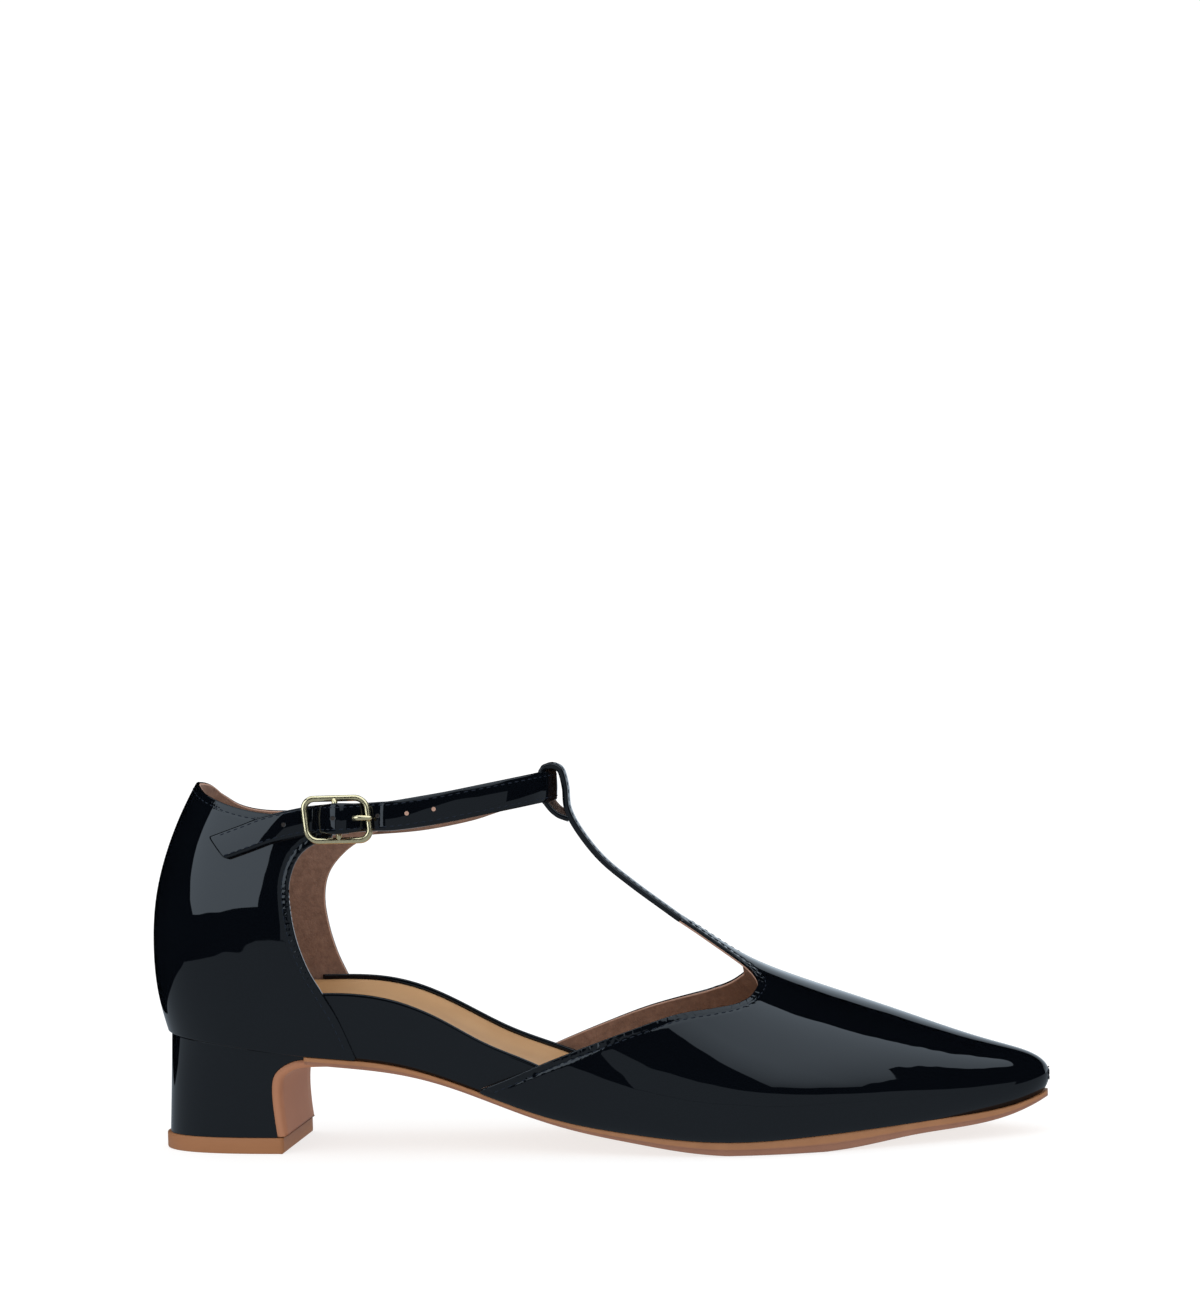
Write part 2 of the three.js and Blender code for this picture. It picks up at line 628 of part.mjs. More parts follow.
// Outsole: a flat edge above, a step, then a bevel below
function outsoleBody() {
  const stations = closingSteps(flapStart, soleTip - 0.05, 40);
  const rings = stations.map((x) => {
    const high = soleTop(x);
    const low = soleBottom(x);
    const half = Math.min(soleEdge(x) + edgeOut, soleEdge(x) * 3 + 0.2);
    const level = (share) => high + (low - high) * share;
    const side = (sign) => {
      const at = (drawn, share) => {
        return new THREE.Vector3(x, centreLine(x) + sign * Math.max(half - drawn, half * 0.6), level(share));
      };
      return [at(0, 0), at(0, 0.48), at(edgeStep, 0.55), at(edgeStep + 0.1, 0.8), at(edgeBevel, 1)];
    };
    return [...side(-1), ...side(1).reverse()];
  });
  const seat = breastLine(0, 0);
  const high = 2 * heelHeight;
  const heelSide = sidePrism([...seat, [0, seat[seat.length - 1][1]], [0, high], [seat[0][0], high]]);
  return solid(loft(rings)).subtract(heelSide).add(flapBody());
}

// Heel form from the lift up to the seat; the block and the flap on its breast are both cut from it
function heelPlan(z, front, count) {
  const share = THREE.MathUtils.clamp((z - liftThickness) / (heelHeight - liftThickness), 0, 1.2);
  const narrow = heelBaseWidth / seatWidth;
  const width = narrow + (1 - narrow) * share ** 1.8;
  const back = THREE.MathUtils.lerp(heelBackInset, soleBack, share);
  const stations = closingSteps(front - back, 0.02, count);
  const at = (s, side) => [back + s, centreLine(back + s) + side * soleEdge(soleBack + s) * width];
  return [...stations.map((s) => at(s, -1)), ...stations.map((s) => at(s, 1)).reverse()];
}
function heelForm() {
  const rings = steps(liftThickness + fit, 1.15 * heelHeight, 9).map((z) => {
    return heelPlan(z, 0.24 * shoeLength, 12).map(([x, y]) => new THREE.Vector3(x, y, z));
  });
  return solid(loft(rings));
}
function breastLine(ahead, raised) {
  return tablePoints(breast, heelHeight).map(([x, z]) => [x + ahead, z + raised]);
}
function heelBlockBody() {
  const line = breastLine(-fit, fit);
  const high = 2 * heelHeight;
  const cut = sidePrism([...line, [0.3 * shoeLength, -1], [0.3 * shoeLength, high], [line[0][0], high]]);
  const seat = steps(-0.05 * shoeLength, 0.4 * shoeLength, 30).map((x) => [x, soleTop(x)]);
  const above = sidePrism([...seat, [0.4 * shoeLength, high], [-0.05 * shoeLength, high]]);
  return heelForm().subtract(cut).subtract(above);
}
function flapBody() {
  const back = breastLine(0, 0);
  const face = tablePoints(breast, heelHeight).map(([x, z], i, all) => {
    const before = all[Math.max(i - 1, 0)];
    const after = all[Math.min(i + 1, all.length - 1)];
    const run = new THREE.Vector2(after[0] - before[0], after[1] - before[1]).normalize();
    return [x - run.y * flapThickness, z + run.x * flapThickness];
  });
  return heelForm().intersect(sidePrism([...back, ...face.reverse()]));
}
function liftBody() {
  const plan = heelPlan(liftThickness, liftFront, 14);
  const middle = centreLine(liftFront);
  const grown = plan.map(([x, y]) => {
    const back = liftEdge * (1 - x / liftFront);
    return [x - back, middle + (y - middle) * (1 + liftEdge / heelBaseWidth)];
  });
  return planPrism(grown, 0, liftThickness);
}

// Outer face of the heel cup beside a place along the shoe, and how it leans there
function cupFace(x, z, side) {
  let station = x;
  for (let i = 0; i < 6; i++) station = x - (cupPoint(station, z, side).x - station);
  return cupPoint(station, z, side, overlayStep).y;
}
const leanAt = (x, z, side) => (cupFace(x, z + 4, side) - cupFace(x, z - 4, side)) / 8;

const buckleAlong = quarterFront[0].along * shoeLength + buckleAhead;
const strapLevel = backHeight - strapDrop;
const loopLevel = strapHeight - loopDrop;
const loopFront = Math.max(...tStrap.slice(tStrap.length / 2).map((row) => row.along)) * shoeLength;
const ankleFront = loopFront - loopSlack - (upperWall + strapThickness) / 2;
const freeEnd = buckleAlong - freeLength;
const strapOut = strapFit + strapThickness / 2;
const earLean = leanAt(buckleAlong - buckleLength / 2, strapLevel, -1);
const barAcross = cupFace(buckleAlong - buckleLength / 2, strapLevel, -1) - strapFit - strapThickness - fit
  - buckleWire / 2;
// Middle line of the ankle strap from its free end, over the buckle's bar, round the ankle to its sewn end
function anklePath() {
  const level = (rise) => strapLevel + rise * strapWidth;
  const onCup = (row, side) => {
    const x = buckleAlong - row.behind * buckleLength;
    const z = level(row.rise);
    return { x, y: cupFace(x, z, side) + side * strapOut, z, lean: leanAt(x, z, side) };
  };
  const under = barAcross + buckleWire / 2 + fit + strapThickness / 2;
  const over = barAcross - buckleWire / 2 - 3 * fit - tabThickness - strapThickness / 2;
  const end = (buckleLength - buckleWire) / 2;
  const ramp = end / 2;
  const atBuckle = (ahead, y, rise) => ({ x: buckleAlong + ahead, y, z: level(rise), lean: earLean });
  const reach = ankleWidth - strapThickness;
  const points = [
    ...freeEndRows.map((row) => onCup(row, -1)),
    atBuckle(-end - ramp / 2, under, -0.08),
    atBuckle(-end + ramp / 4, under, -0.035),
    atBuckle(-ramp, (under + over) / 2, -0.01),
    atBuckle(0, over, 0),
    atBuckle(ramp, (under + over) / 2, 0),
    atBuckle(end - ramp / 4, under, 0),
    atBuckle(end + ramp / 2, under, 0.01),
    atBuckle(2 * end - ramp / 4, under - fit / 2, 0.035),
    ...ankleLoop.map(({ behind, across, rise, lean }) => {
      const z = THREE.MathUtils.lerp(strapLevel, loopLevel, rise);
      return { x: ankleFront - behind * ankleWidth, y: across * reach, z, lean };
    }),
    ...sewnEndRows.map((row) => onCup(row, 1)),
  ];
  const middle = smoothPath(points.map((p) => new THREE.Vector3(p.x, p.y, p.z)));
  const above = smoothPath(points.map((p) => new THREE.Vector3(p.x, p.y + p.lean, p.z + 1)));
  return { middle, above };
}
function ankleStrapBody() {
  const { middle, above } = anklePath();
  const slot = new THREE.BoxGeometry(slotLength, 8 * strapThickness, prongWidth + 3 * fit);
  slot.translate(slotLength / 2 + fit, 0, 0);
  const high = strapLevel - strapWidth / 3;
  const low = high - strapWidth;
  const back = freeEnd - 2 * freeSlant;
  const front = freeEnd + freeSlant;
  const slant = [[back, strapLevel], [freeEnd, high], [front, low], [front, 0], [back, 0]];
  const tip = sidePrism(slant, -ballWidth, 0);
  const strap = ribbon(middle, above, strapWidth, strapThickness, 110);
  return strap.subtract(leaned(slot)).subtract(tip);
}

// Buckle parts are drawn flat around the centre bar, then leaned with the strap
function leaned(geometry) {
  geometry.rotateX(-Math.atan(earLean));
  geometry.translate(buckleAlong, barAcross, strapLevel);
  return solid(geometry);
}
function frameBody() {
  const right = buckleLength / 2 - buckleWire / 2;
  const up = buckleHeight / 2 - buckleWire / 2;
  const corners = [[right, up, 0], [-right, up, 1], [-right, -up, 2], [right, -up, 3]];
  const path = corners.flatMap(([x, z, turn]) => {
    const middle = [x - Math.sign(x) * buckleCorner, z - Math.sign(z) * buckleCorner];
    return steps(0, 1, 5).map((share) => {
      const angle = ((turn + share) * Math.PI) / 2;
      return [middle[0] + buckleCorner * Math.cos(angle), middle[1] + buckleCorner * Math.sin(angle), angle];
    });
  });
  const rings = path.map(([x, z, angle]) => {
    return steps(0, 2 * Math.PI, 8).slice(0, -1).map((a) => {
      const out = (Math.cos(a) * buckleWire) / 2;
      const across = (Math.sin(a) * buckleWire) / 2;
      return new THREE.Vector3(x + Math.cos(angle) * out, across, z + Math.sin(angle) * out);
    });
  });
  const bar = new THREE.CylinderGeometry(buckleWire / 2, buckleWire / 2, 2 * up, 10);
  bar.rotateX(Math.PI / 2);
  return leaned(loft(rings, true)).add(leaned(bar));
}
function extrudedUp(shape, tall, from) {
  const geometry = new THREE.ExtrudeGeometry(shape, { depth: tall, bevelEnabled: false, curveSegments: 8 });
  geometry.translate(0, 0, from);
  return geometry;
}
// Leather tab folded round the centre bar, its ends inside the quarter's ear
function tabBody() {
  const eye = buckleWire / 2 + fit;
  const round = eye + tabThickness;
  const ear = -buckleAhead;
  const wall = cupFace(buckleAlong + ear, strapLevel, -1) - barAcross + upperWall + strapFit;
  const shape = new THREE.Shape();
  shape.moveTo(ear - tabOverlap, wall);
  shape.lineTo(ear + fit, wall);
  shape.lineTo(ear + 2 * fit, wall - 1.3 * tabThickness);
  shape.lineTo(-round * 0.94, round * 0.34);
  shape.absarc(0, 0, round, Math.PI - 0.35, 2 * Math.PI + 0.5, false);
  shape.lineTo(round * 0.88, wall - 0.9 * tabThickness);
  shape.lineTo(ear + tabThickness, wall + 2 * tabThickness);
  shape.lineTo(ear - tabOverlap, wall + 2 * tabThickness);
  const hole = new THREE.Path();
  hole.absarc(0, 0, eye, 0, 2 * Math.PI, true);
  shape.holes.push(hole);
  const tall = strapWidth - 2 * tabInset;
  const slot = new THREE.BoxGeometry(3 * round, 3 * round, prongWidth + 2 * fit);
  slot.translate(tabThickness / 2, 0, 0);
  return leaned(extrudedUp(shape, tall, -tall / 2)).subtract(leaned(slot));
}
// Prong hung on the centre bar, its tip over the bar ahead
function prongBody() {
  const eye = buckleWire / 2 + fit;
  const tip = buckleLength / 2 + buckleWire / 4;
  const shape = new THREE.Shape();
  shape.absarc(0, 0, eye + prongRing, -0.55, 2 * Math.PI - 1.45, false);
  shape.lineTo(tip * 0.44, -eye - 2.7 * prongRing);
  shape.lineTo(tip - prongRing, -eye - 1.4 * prongRing);
  shape.lineTo(tip, -eye - 0.4 * prongRing);
  shape.lineTo(tip - 0.3 * prongRing, -eye);
  shape.lineTo(tip * 0.52, -eye - 1.1 * prongRing);
  const hole = new THREE.Path();
  hole.absarc(0, 0, eye, 0, 2 * Math.PI, true);
  shape.holes.push(hole);
  return leaned(extrudedUp(shape, prongWidth, -prongWidth / 2));
}

const patent = { color: 0x0b1020, roughness: 0.12, metalness: 0 };
const tan = { color: 0xb8764a, roughness: 0.6, metalness: 0 };
const lining = { color: 0xc9a06a, roughness: 0.7, metalness: 0 };
const gold = { color: 0xd9c58a, roughness: 0.22, metalness: 1 };

const model = new THREE.Group();
function piece(name, body, finish) {
  const mesh = new THREE.Mesh(geometryOf(body), new THREE.MeshStandardMaterial(finish));
  mesh.name = name;
  model.add(mesh);
}
piece("outsole", outsoleBody(), tan);
piece("heel_block", heelBlockBody(), patent);
piece("top_lift", liftBody(), tan);
piece("insole", insoleBody(), lining);
piece("upper", upperBody(), patent);
piece("ankle_strap", ankleStrapBody(), patent);
piece("buckle_tab", tabBody(), patent);
piece("buckle_frame", frameBody(), gold);
piece("buckle_prong", prongBody(), gold);

// The origin is on the floor, under the middle of the shoe
const box = new THREE.Box3().setFromObject(model);
model.position.set(-(box.min.x + box.max.x) / 2, -(box.min.y + box.max.y) / 2, -box.min.z);
const shoe = new THREE.Group();
shoe.add(model);
export default shoe;
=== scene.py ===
"""A woman's right T-strap pump in navy patent leather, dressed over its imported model.

Lengths are millimetres in the shoe's own frame until a mesh is made: x runs from the back of the heel cup to
the toe, y from the outer (lateral, negative) to the inner side, and z up from the floor.
"""
import math

import bpy
import numpy as np
from mathutils import Matrix, Vector


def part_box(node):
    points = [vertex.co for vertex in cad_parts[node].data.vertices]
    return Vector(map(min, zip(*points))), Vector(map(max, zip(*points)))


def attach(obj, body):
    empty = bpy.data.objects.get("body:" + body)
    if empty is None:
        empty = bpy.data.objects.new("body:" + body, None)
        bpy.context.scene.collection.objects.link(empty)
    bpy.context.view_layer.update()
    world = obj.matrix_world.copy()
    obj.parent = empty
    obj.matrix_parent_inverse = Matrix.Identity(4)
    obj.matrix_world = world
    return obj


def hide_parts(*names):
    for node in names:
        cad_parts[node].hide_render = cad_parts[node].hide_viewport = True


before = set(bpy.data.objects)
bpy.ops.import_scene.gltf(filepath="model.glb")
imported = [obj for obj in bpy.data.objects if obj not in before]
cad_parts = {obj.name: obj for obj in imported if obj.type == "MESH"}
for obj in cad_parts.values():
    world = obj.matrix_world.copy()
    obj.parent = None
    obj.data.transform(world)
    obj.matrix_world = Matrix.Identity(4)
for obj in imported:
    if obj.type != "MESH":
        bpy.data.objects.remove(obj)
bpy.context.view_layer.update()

MM = 0.001
# The shoe's own origin in the row frame: the back of the heel cup, and the line that the T-strap runs along
ORIGIN = np.array([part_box("upper")[0][0] / MM, 0.58, 0.0])

# Sizes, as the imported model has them
SHOE_LENGTH = 255.0
BALL_WIDTH = 77.0
SEAT_WIDTH = 57.0
HEEL_HEIGHT = 33.4
INSTEP_HEIGHT = 51.0
BACK_HEIGHT = 105.0
STRAP_HEIGHT = 108.5
SOLE_THICKNESS = 4.0
LIFT_THICKNESS = 4.5
FLAP_THICKNESS = 2.2
FOOTBED_DEPTH = 18.6
WALL = 1.5
OVERLAY = 1.1
STRAP_WIDTH = 8.6
STRAP_THICKNESS = 1.8
FIT = 0.3
HEEL_BASE_WIDTH = 45.0
HEEL_BACK_INSET = 3.0
LIFT_EDGE = 1.0
LIFT_FRONT = 40.0
ANKLE_WIDTH = 54.0
STRAP_DROP = 10.4
LOOP_DROP = 7.5
LOOP_SLACK = 2.0
T_STRAP_WIDTH = 9.8
BUCKLE_LENGTH = 18.4
BUCKLE_HEIGHT = 12.8
BUCKLE_WIRE = 1.6
BUCKLE_CORNER = 3.0
BUCKLE_AHEAD = 3.0
FREE_LENGTH = 37.0
FREE_EXTRA = 0.8
FREE_SLANT = 4.0
TAB_THICKNESS = 1.0
PRONG_WIDTH = 1.5
INSOLE_DISH = 3.2
INSOLE_FIT = 0.5
INSOLE_TOE_GAP = 4.0
INSOLE_SINK = 0.6
TOE_TUCK = 2.0
STRAP_FIT = 0.5
EDGE_OUT = 0.5
BAND_OUT = 1.5
TOE_ROUNDNESS = 9.0
HEEL_ROUNDNESS = 14.0
NOSE_ROUNDNESS = 5.0
SOLE_BACK = 4.5
SOLE_TIP = SHOE_LENGTH - 0.5
BAND_FROM = 0.17 * SHOE_LENGTH
BAND_TO = 0.475 * SHOE_LENGTH
VAMP_BACK = 0.36 * SHOE_LENGTH
CUP_FRONT = 0.27 * SHOE_LENGTH
FLAP_START = 0.188 * SHOE_LENGTH

# Skins: the patent leather, and the lining inside it
PATENT = 0.9
LINING = WALL - PATENT
RIM_LAP = 0.05  # the patent's turned edge reaches past the lining's by this much
SEAM_INSET = 1.7  # stitch line inside an edge
SEAM_START = 3.0  # seams begin this far above the sole
EDGE_GROOVE = 0.4  # half the groove where the quarter meets the heel


def table(columns, *rows):
    """Rows of numbers under named columns."""
    return {name: np.array([row[i] for row in rows]) for i, name in enumerate(columns.split())}


# Sole outline: shares of SHOE_LENGTH and BALL_WIDTH
OUTLINE = table(
    "along half centre",
    (0.0, 0.34, 0.0), (0.08, 0.365, 0.0), (0.16, 0.375, -0.004), (0.24, 0.367, -0.012), (0.32, 0.349, -0.023),
    (0.4, 0.346, -0.04), (0.48, 0.382, -0.05), (0.56, 0.443, -0.042), (0.63, 0.488, -0.022),
    (0.69, 0.498, -0.002), (0.75, 0.467, 0.017), (0.81, 0.4, 0.028), (0.87, 0.313, 0.031), (0.93, 0.226, 0.027),
    (0.97, 0.18, 0.024), (1.0, 0.158, 0.022),
)
# Top of the sole's edge and the sole's thickness, and the insole's rise above that line at either edge
SOLE_LINE = table(
    "along height thick rise inner",
    (0.0, 1.02, 0.6, 0.64, 0.64), (0.1, 0.928, 0.6, 0.79, 0.79), (0.18, 0.845, 0.6, 0.93, 0.92),
    (0.24, 0.8, 0.62, 1.0, 0.965), (0.29, 0.742, 0.6, 0.985, 0.905), (0.34, 0.632, 0.5, 0.9, 0.79),
    (0.39, 0.492, 0.47, 0.78, 0.69), (0.44, 0.357, 0.48, 0.745, 0.66), (0.49, 0.262, 0.57, 0.6, 0.56),
    (0.55, 0.19, 0.7, 0.42, 0.42), (0.61, 0.138, 0.9, 0.32, 0.32), (0.67, 0.119, 1.05, 0.28, 0.28),
    (0.73, 0.136, 1.2, 0.26, 0.26), (0.79, 0.163, 1.19, 0.26, 0.26), (0.85, 0.192, 0.92, 0.26, 0.26),
    (0.92, 0.222, 0.79, 0.25, 0.25), (0.96, 0.263, 0.63, 0.24, 0.24), (1.0, 0.352, 0.42, 0.22, 0.22),
)
# Vamp sections: the widest line's stand and height, the crest's height, and how square side and top are
VAMP = table(
    "along out widest crest side top",
    (0.36, 0.036, 0.22, 2.02, 0.5, 0.42), (0.46, 0.036, 0.2, 1.83, 0.5, 0.42),
    (0.54, 0.035, 0.185, 1.44, 0.5, 0.44), (0.6, 0.034, 0.17, 1.237, 0.5, 0.46),
    (0.66, 0.032, 0.16, 1.03, 0.5, 0.5), (0.72, 0.03, 0.145, 0.887, 0.5, 0.54),
    (0.78, 0.027, 0.13, 0.776, 0.5, 0.57), (0.84, 0.024, 0.115, 0.668, 0.51, 0.58),
    (0.9, 0.02, 0.105, 0.56, 0.53, 0.58), (0.95, 0.014, 0.097, 0.49, 0.55, 0.57),
    (1.0, 0.008, 0.085, 0.455, 0.5523, 0.5523),
)
HEEL_CUP = table(
    "height back width",
    (0.24, 0.024, 0.98), (0.32, 0.014, 1.0), (0.42, 0.004, 1.045), (0.55, 0.0, 1.06), (0.68, 0.004, 1.04),
    (0.8, 0.0165, 0.985), (0.9, 0.033, 0.925), (1.0, 0.055, 0.86), (1.1, 0.082, 0.8),
)
TOPLINE = table(
    "along height",
    (0.0, 1.01), (0.05, 0.998), (0.075, 0.966), (0.11, 0.934), (0.15, 0.914), (0.18, 0.914), (0.205, 0.928),
    (0.25, 0.94),
)
INNER_TOPLINE = table(
    "along height",
    (0.0, 1.01), (0.05, 0.998), (0.068, 0.955), (0.085, 0.922), (0.11, 0.904), (0.15, 0.897), (0.2, 0.893),
    (0.28, 0.893),
)
QUARTER_FRONT = table(
    "along inner height",
    (0.226, 0.25, 0.85), (0.2, 0.232, 0.828), (0.185, 0.204, 0.79), (0.177, 0.181, 0.73), (0.178, 0.173, 0.66),
    (0.184, 0.176, 0.58), (0.196, 0.185, 0.5), (0.211, 0.197, 0.435), (0.228, 0.213, 0.36),
    (0.248, 0.233, 0.24),
)
VAMP_OPENING = table(
    "along inner height",
    (0.36, 0.36, 0.135), (0.385, 0.385, 0.17), (0.42, 0.42, 0.206), (0.455, 0.455, 0.242), (0.5, 0.5, 0.284),
    (0.55, 0.551, 0.327), (0.6, 0.612, 0.365), (0.64, 0.627, 0.377), (0.665, 0.637, 0.385), (0.68, 0.65, 0.401),
    (0.688, 0.664, 0.426),
)
THROAT = table(
    "along half",
    (0.5, 0.5), (0.6, 0.5), (0.63, 0.52), (0.65, 0.6), (0.665, 0.76), (0.678, 1.05), (0.688, 1.45),
)
T_STRAP = table(
    "along height",
    (0.585, 0.243), (0.545, 0.378), (0.513, 0.5), (0.489, 0.638), (0.4765, 0.751), (0.4745, 0.858),
    (0.4705, 0.938), (0.464, 0.965), (0.4555, 0.968), (0.4475, 0.938), (0.447, 0.83), (0.4545, 0.765),
    (0.4645, 0.722), (0.4765, 0.7),
)
ANKLE_LOOP = table(
    "behind across rise lean",
    (0.537, -0.474, 0.28, 0.1), (0.352, -0.416, 0.54, 0.08), (0.185, -0.309, 0.77, 0.05),
    (0.067, -0.184, 0.93, 0.02), (0.0, 0.0, 1.0, 0.0), (0.067, 0.184, 0.9, -0.02), (0.185, 0.309, 0.69, -0.05),
    (0.352, 0.416, 0.39, -0.08), (0.537, 0.474, -0.05, -0.1), (0.796, 0.505, -0.42, -0.12),
)
FREE_END = table("behind rise", (2.05, -0.96), (1.53, -0.6), (1.12, -0.31))
SEWN_END = table("behind rise", (0.05, -0.42), (0.54, -0.47), (1.03, -0.52))
BREAST = table(
    "along height",
    (0.215, 0.808), (0.182, 0.801), (0.165, 0.76), (0.153, 0.69), (0.148, 0.6), (0.147, 0.45), (0.149, 0.25),
    (0.152, 0.08),
)


def through(xs, ys):
    """Natural cubic through the points of one column."""
    h = np.diff(xs)
    a = np.eye(len(xs))
    b = np.zeros(len(xs))
    for i in range(1, len(xs) - 1):
        a[i, i - 1:i + 2] = h[i - 1], 2 * (h[i - 1] + h[i]), h[i]
        b[i] = 6 * ((ys[i + 1] - ys[i]) / h[i] - (ys[i] - ys[i - 1]) / h[i - 1])
    bend = np.linalg.solve(a, b)

    def curve(at):
        at = np.clip(at, xs[0], xs[-1])
        i = np.clip(np.searchsorted(xs, at) - 1, 0, len(xs) - 2)
        span = xs[i + 1] - xs[i]
        t = (at - xs[i]) / span
        s = 1 - t
        cubic = ((s**3 - s) * bend[i] + (t**3 - t) * bend[i + 1]) * span**2 / 6
        return s * ys[i] + t * ys[i + 1] + cubic

    return curve


outline_half = through(OUTLINE["along"], OUTLINE["half"])
outline_centre = through(OUTLINE["along"], OUTLINE["centre"])
line_height, line_thick, line_rise, line_inner = (
    through(SOLE_LINE["along"], SOLE_LINE[column]) for column in ("height", "thick", "rise", "inner")
)
vamp_out, vamp_widest, vamp_crest, vamp_side, vamp_top = (
    through(VAMP["along"], VAMP[column]) for column in ("out", "widest", "crest", "side", "top")
)
cup_back = through(HEEL_CUP["height"], HEEL_CUP["back"])
cup_width = through(HEEL_CUP["height"], HEEL_CUP["width"])
throat_half = through(THROAT["along"], THROAT["half"])


def opened(distance, roundness):
    """How far an outline has opened, a distance from its rounded end."""
    return np.sqrt(1 - np.exp(-np.maximum(distance, 0) / roundness))


def eased(at, start, end):
    t = np.clip((at - start) / (end - start), 0, 1)
    return t**3 * (t * (6 * t - 15) + 10)


def sole_half(x):
    seat = SEAT_WIDTH / (2 * BALL_WIDTH * OUTLINE["half"][2])
    rear = 1 + (seat * 0.987 - 1) * (1 - eased(x, 0.3 * SHOE_LENGTH, 0.5 * SHOE_LENGTH))
    return outline_half(x / SHOE_LENGTH) * BALL_WIDTH * rear


def centre_line(x):
    return outline_centre(x / SHOE_LENGTH) * BALL_WIDTH


def t_strap_line(x):
    """How far the T-strap's middle lies to the side."""
    return 0.4 * centre_line(x)


def sole_edge(x):
    return sole_half(x) * opened(SOLE_TIP - x, TOE_ROUNDNESS) * opened(x - SOLE_BACK, HEEL_ROUNDNESS)


def sole_top(x):
    return line_height(x / SHOE_LENGTH) * HEEL_HEIGHT


def sole_bottom(x):
    return np.maximum(0, sole_top(x) - line_thick(x / SHOE_LENGTH) * SOLE_THICKNESS)


def footbed_edge(x, side):
    """Height of the insole's edge; side runs from -1, the outer edge, to 1, the inner one."""
    share = x / SHOE_LENGTH
    rise = line_rise(share) + (line_inner(share) - line_rise(share)) * (side + 1) / 2
    return sole_top(x) + rise * FOOTBED_DEPTH


def stacked(x, y, z):
    return np.stack(np.broadcast_arrays(x, y, z), axis=-1).astype(float)


# Surfaces of the upper

NOSE_STEP = 0.004
ROUND = 0.5523  # squareness of a quarter that runs as a circle
UNDER_WRAP = 4  # the vamp's face is carried this far below the sole line, to be cut there


def vamp_point(r, around):
    """Vamp's face. r is the square root of the distance behind the toe tip, so that the nose closes evenly.
    around is 0 underneath, 1 on the outer side, 2 at the crest and 3 on the inner side."""
    x = SHOE_LENGTH - r * r
    share = x / SHOE_LENGTH
    half = (sole_half(x) + vamp_out(share) * BALL_WIDTH) * opened(SHOE_LENGTH - x, TOE_ROUNDNESS)
    middle = sole_top(x) + vamp_widest(share) * INSTEP_HEIGHT
    nose = opened(SHOE_LENGTH - x, NOSE_ROUNDNESS)
    quarter = np.clip(np.floor(around), 0, 3)
    lower = (quarter == 0) | (quarter == 3)
    below = -(middle - sole_top(x) + UNDER_WRAP)
    tall = np.where(lower, below, vamp_crest(share) * INSTEP_HEIGHT - middle) * nose
    square = ROUND + 0.4 * eased(SHOE_LENGTH - x, 0, 0.2 * SHOE_LENGTH)
    side = np.where(lower, square, vamp_side(share))
    top = np.where(lower, square, vamp_top(share))
    turn = np.where(quarter % 2 == 0, 1 - (around - quarter), around - quarter)
    s = 1 - turn
    across = s**3 + 3 * s * s * turn + 3 * s * turn * turn * top
    up = 3 * s * s * turn * side + 3 * s * turn * turn + turn**3
    return stacked(x, centre_line(x) + np.where(around < 2, -1, 1) * across * half, middle + up * tall)


def cup_point(t, z):
    """Heel cup's face: t is -1 to 0 down the outer side to the back, and 0 to 1 up the inner side."""
    station = t * t * CUP_FRONT
    fading = eased(station, 0.05 * SHOE_LENGTH, 0.26 * SHOE_LENGTH)
    back = cup_back(z / BACK_HEIGHT) * SHOE_LENGTH * (1 - fading)
    half = (sole_half(station) * cup_width(z / BACK_HEIGHT) + OVERLAY) * opened(station, HEEL_ROUNDNESS)
    return stacked(station + back, centre_line(station) + np.sign(t) * half, z)


def band_point(x, share, side):
    """Waist band's face: share is 0 at the sole and 1 at the insole's edge."""
    low = sole_top(x)
    z = low + share * (footbed_edge(x, side) - low)
    half = sole_edge(x) + BAND_OUT * np.sin(math.pi / 2 * np.clip(share, -0.3, 1))
    return stacked(x, centre_line(x) + side * half, z)


def unit(vectors):
    return vectors / np.maximum(np.linalg.norm(vectors, axis=-1, keepdims=True), 1e-12)


# Small steps in a surface's two numbers, which give its slopes
VAMP_STEPS = (0.002, 0.001)
CUP_STEPS = (0.0015, 0.05)


def face_normals(point, u, v, steps):
    """Outward normals of a surface."""
    du, dv = steps
    along_u = point(u + du, v) - point(u - du, v)
    along_v = point(u, v + dv) - point(u, v - dv)
    return unit(np.cross(along_v, along_u))


def cup_face(x, z, side):
    """How far across the heel cup's outer face lies at a place along the shoe."""
    station = x
    for _ in range(8):
        station = x - (cup_point(side * math.sqrt(max(station, 0) / CUP_FRONT), z)[..., 0] - station)
    return float(cup_point(side * math.sqrt(station / CUP_FRONT), z)[..., 1])


def lean_at(x, z, side):
    return (cup_face(x, z + 4, side) - cup_face(x, z - 4, side)) / 8


# Cutting

def side_curve(rows, tall, column="along"):
    """Smooth side view curve through a table's rows."""
    per_span = 10
    points = np.stack([rows[column] * SHOE_LENGTH, rows["height"] * tall], axis=1)
    points = np.concatenate([points[:1], points, points[-1:]])
    out = []
    for i in range(1, len(points) - 2):
        for t in np.arange(per_span) / per_span:
            out.append(catmull(points[i - 1], points[i], points[i + 1], points[i + 2], t))
    return np.array(out + [points[-1]])


def catmull(a, b, c, d, t):
    slope_b = (c - a) / 2
    slope_c = (d - b) / 2
    return (2 * t**3 - 3 * t**2 + 1) * b + (t**3 - 2 * t**2 + t) * slope_b + (3 * t**2 - 2 * t**3) * c + (
        t**3 - t**2) * slope_c


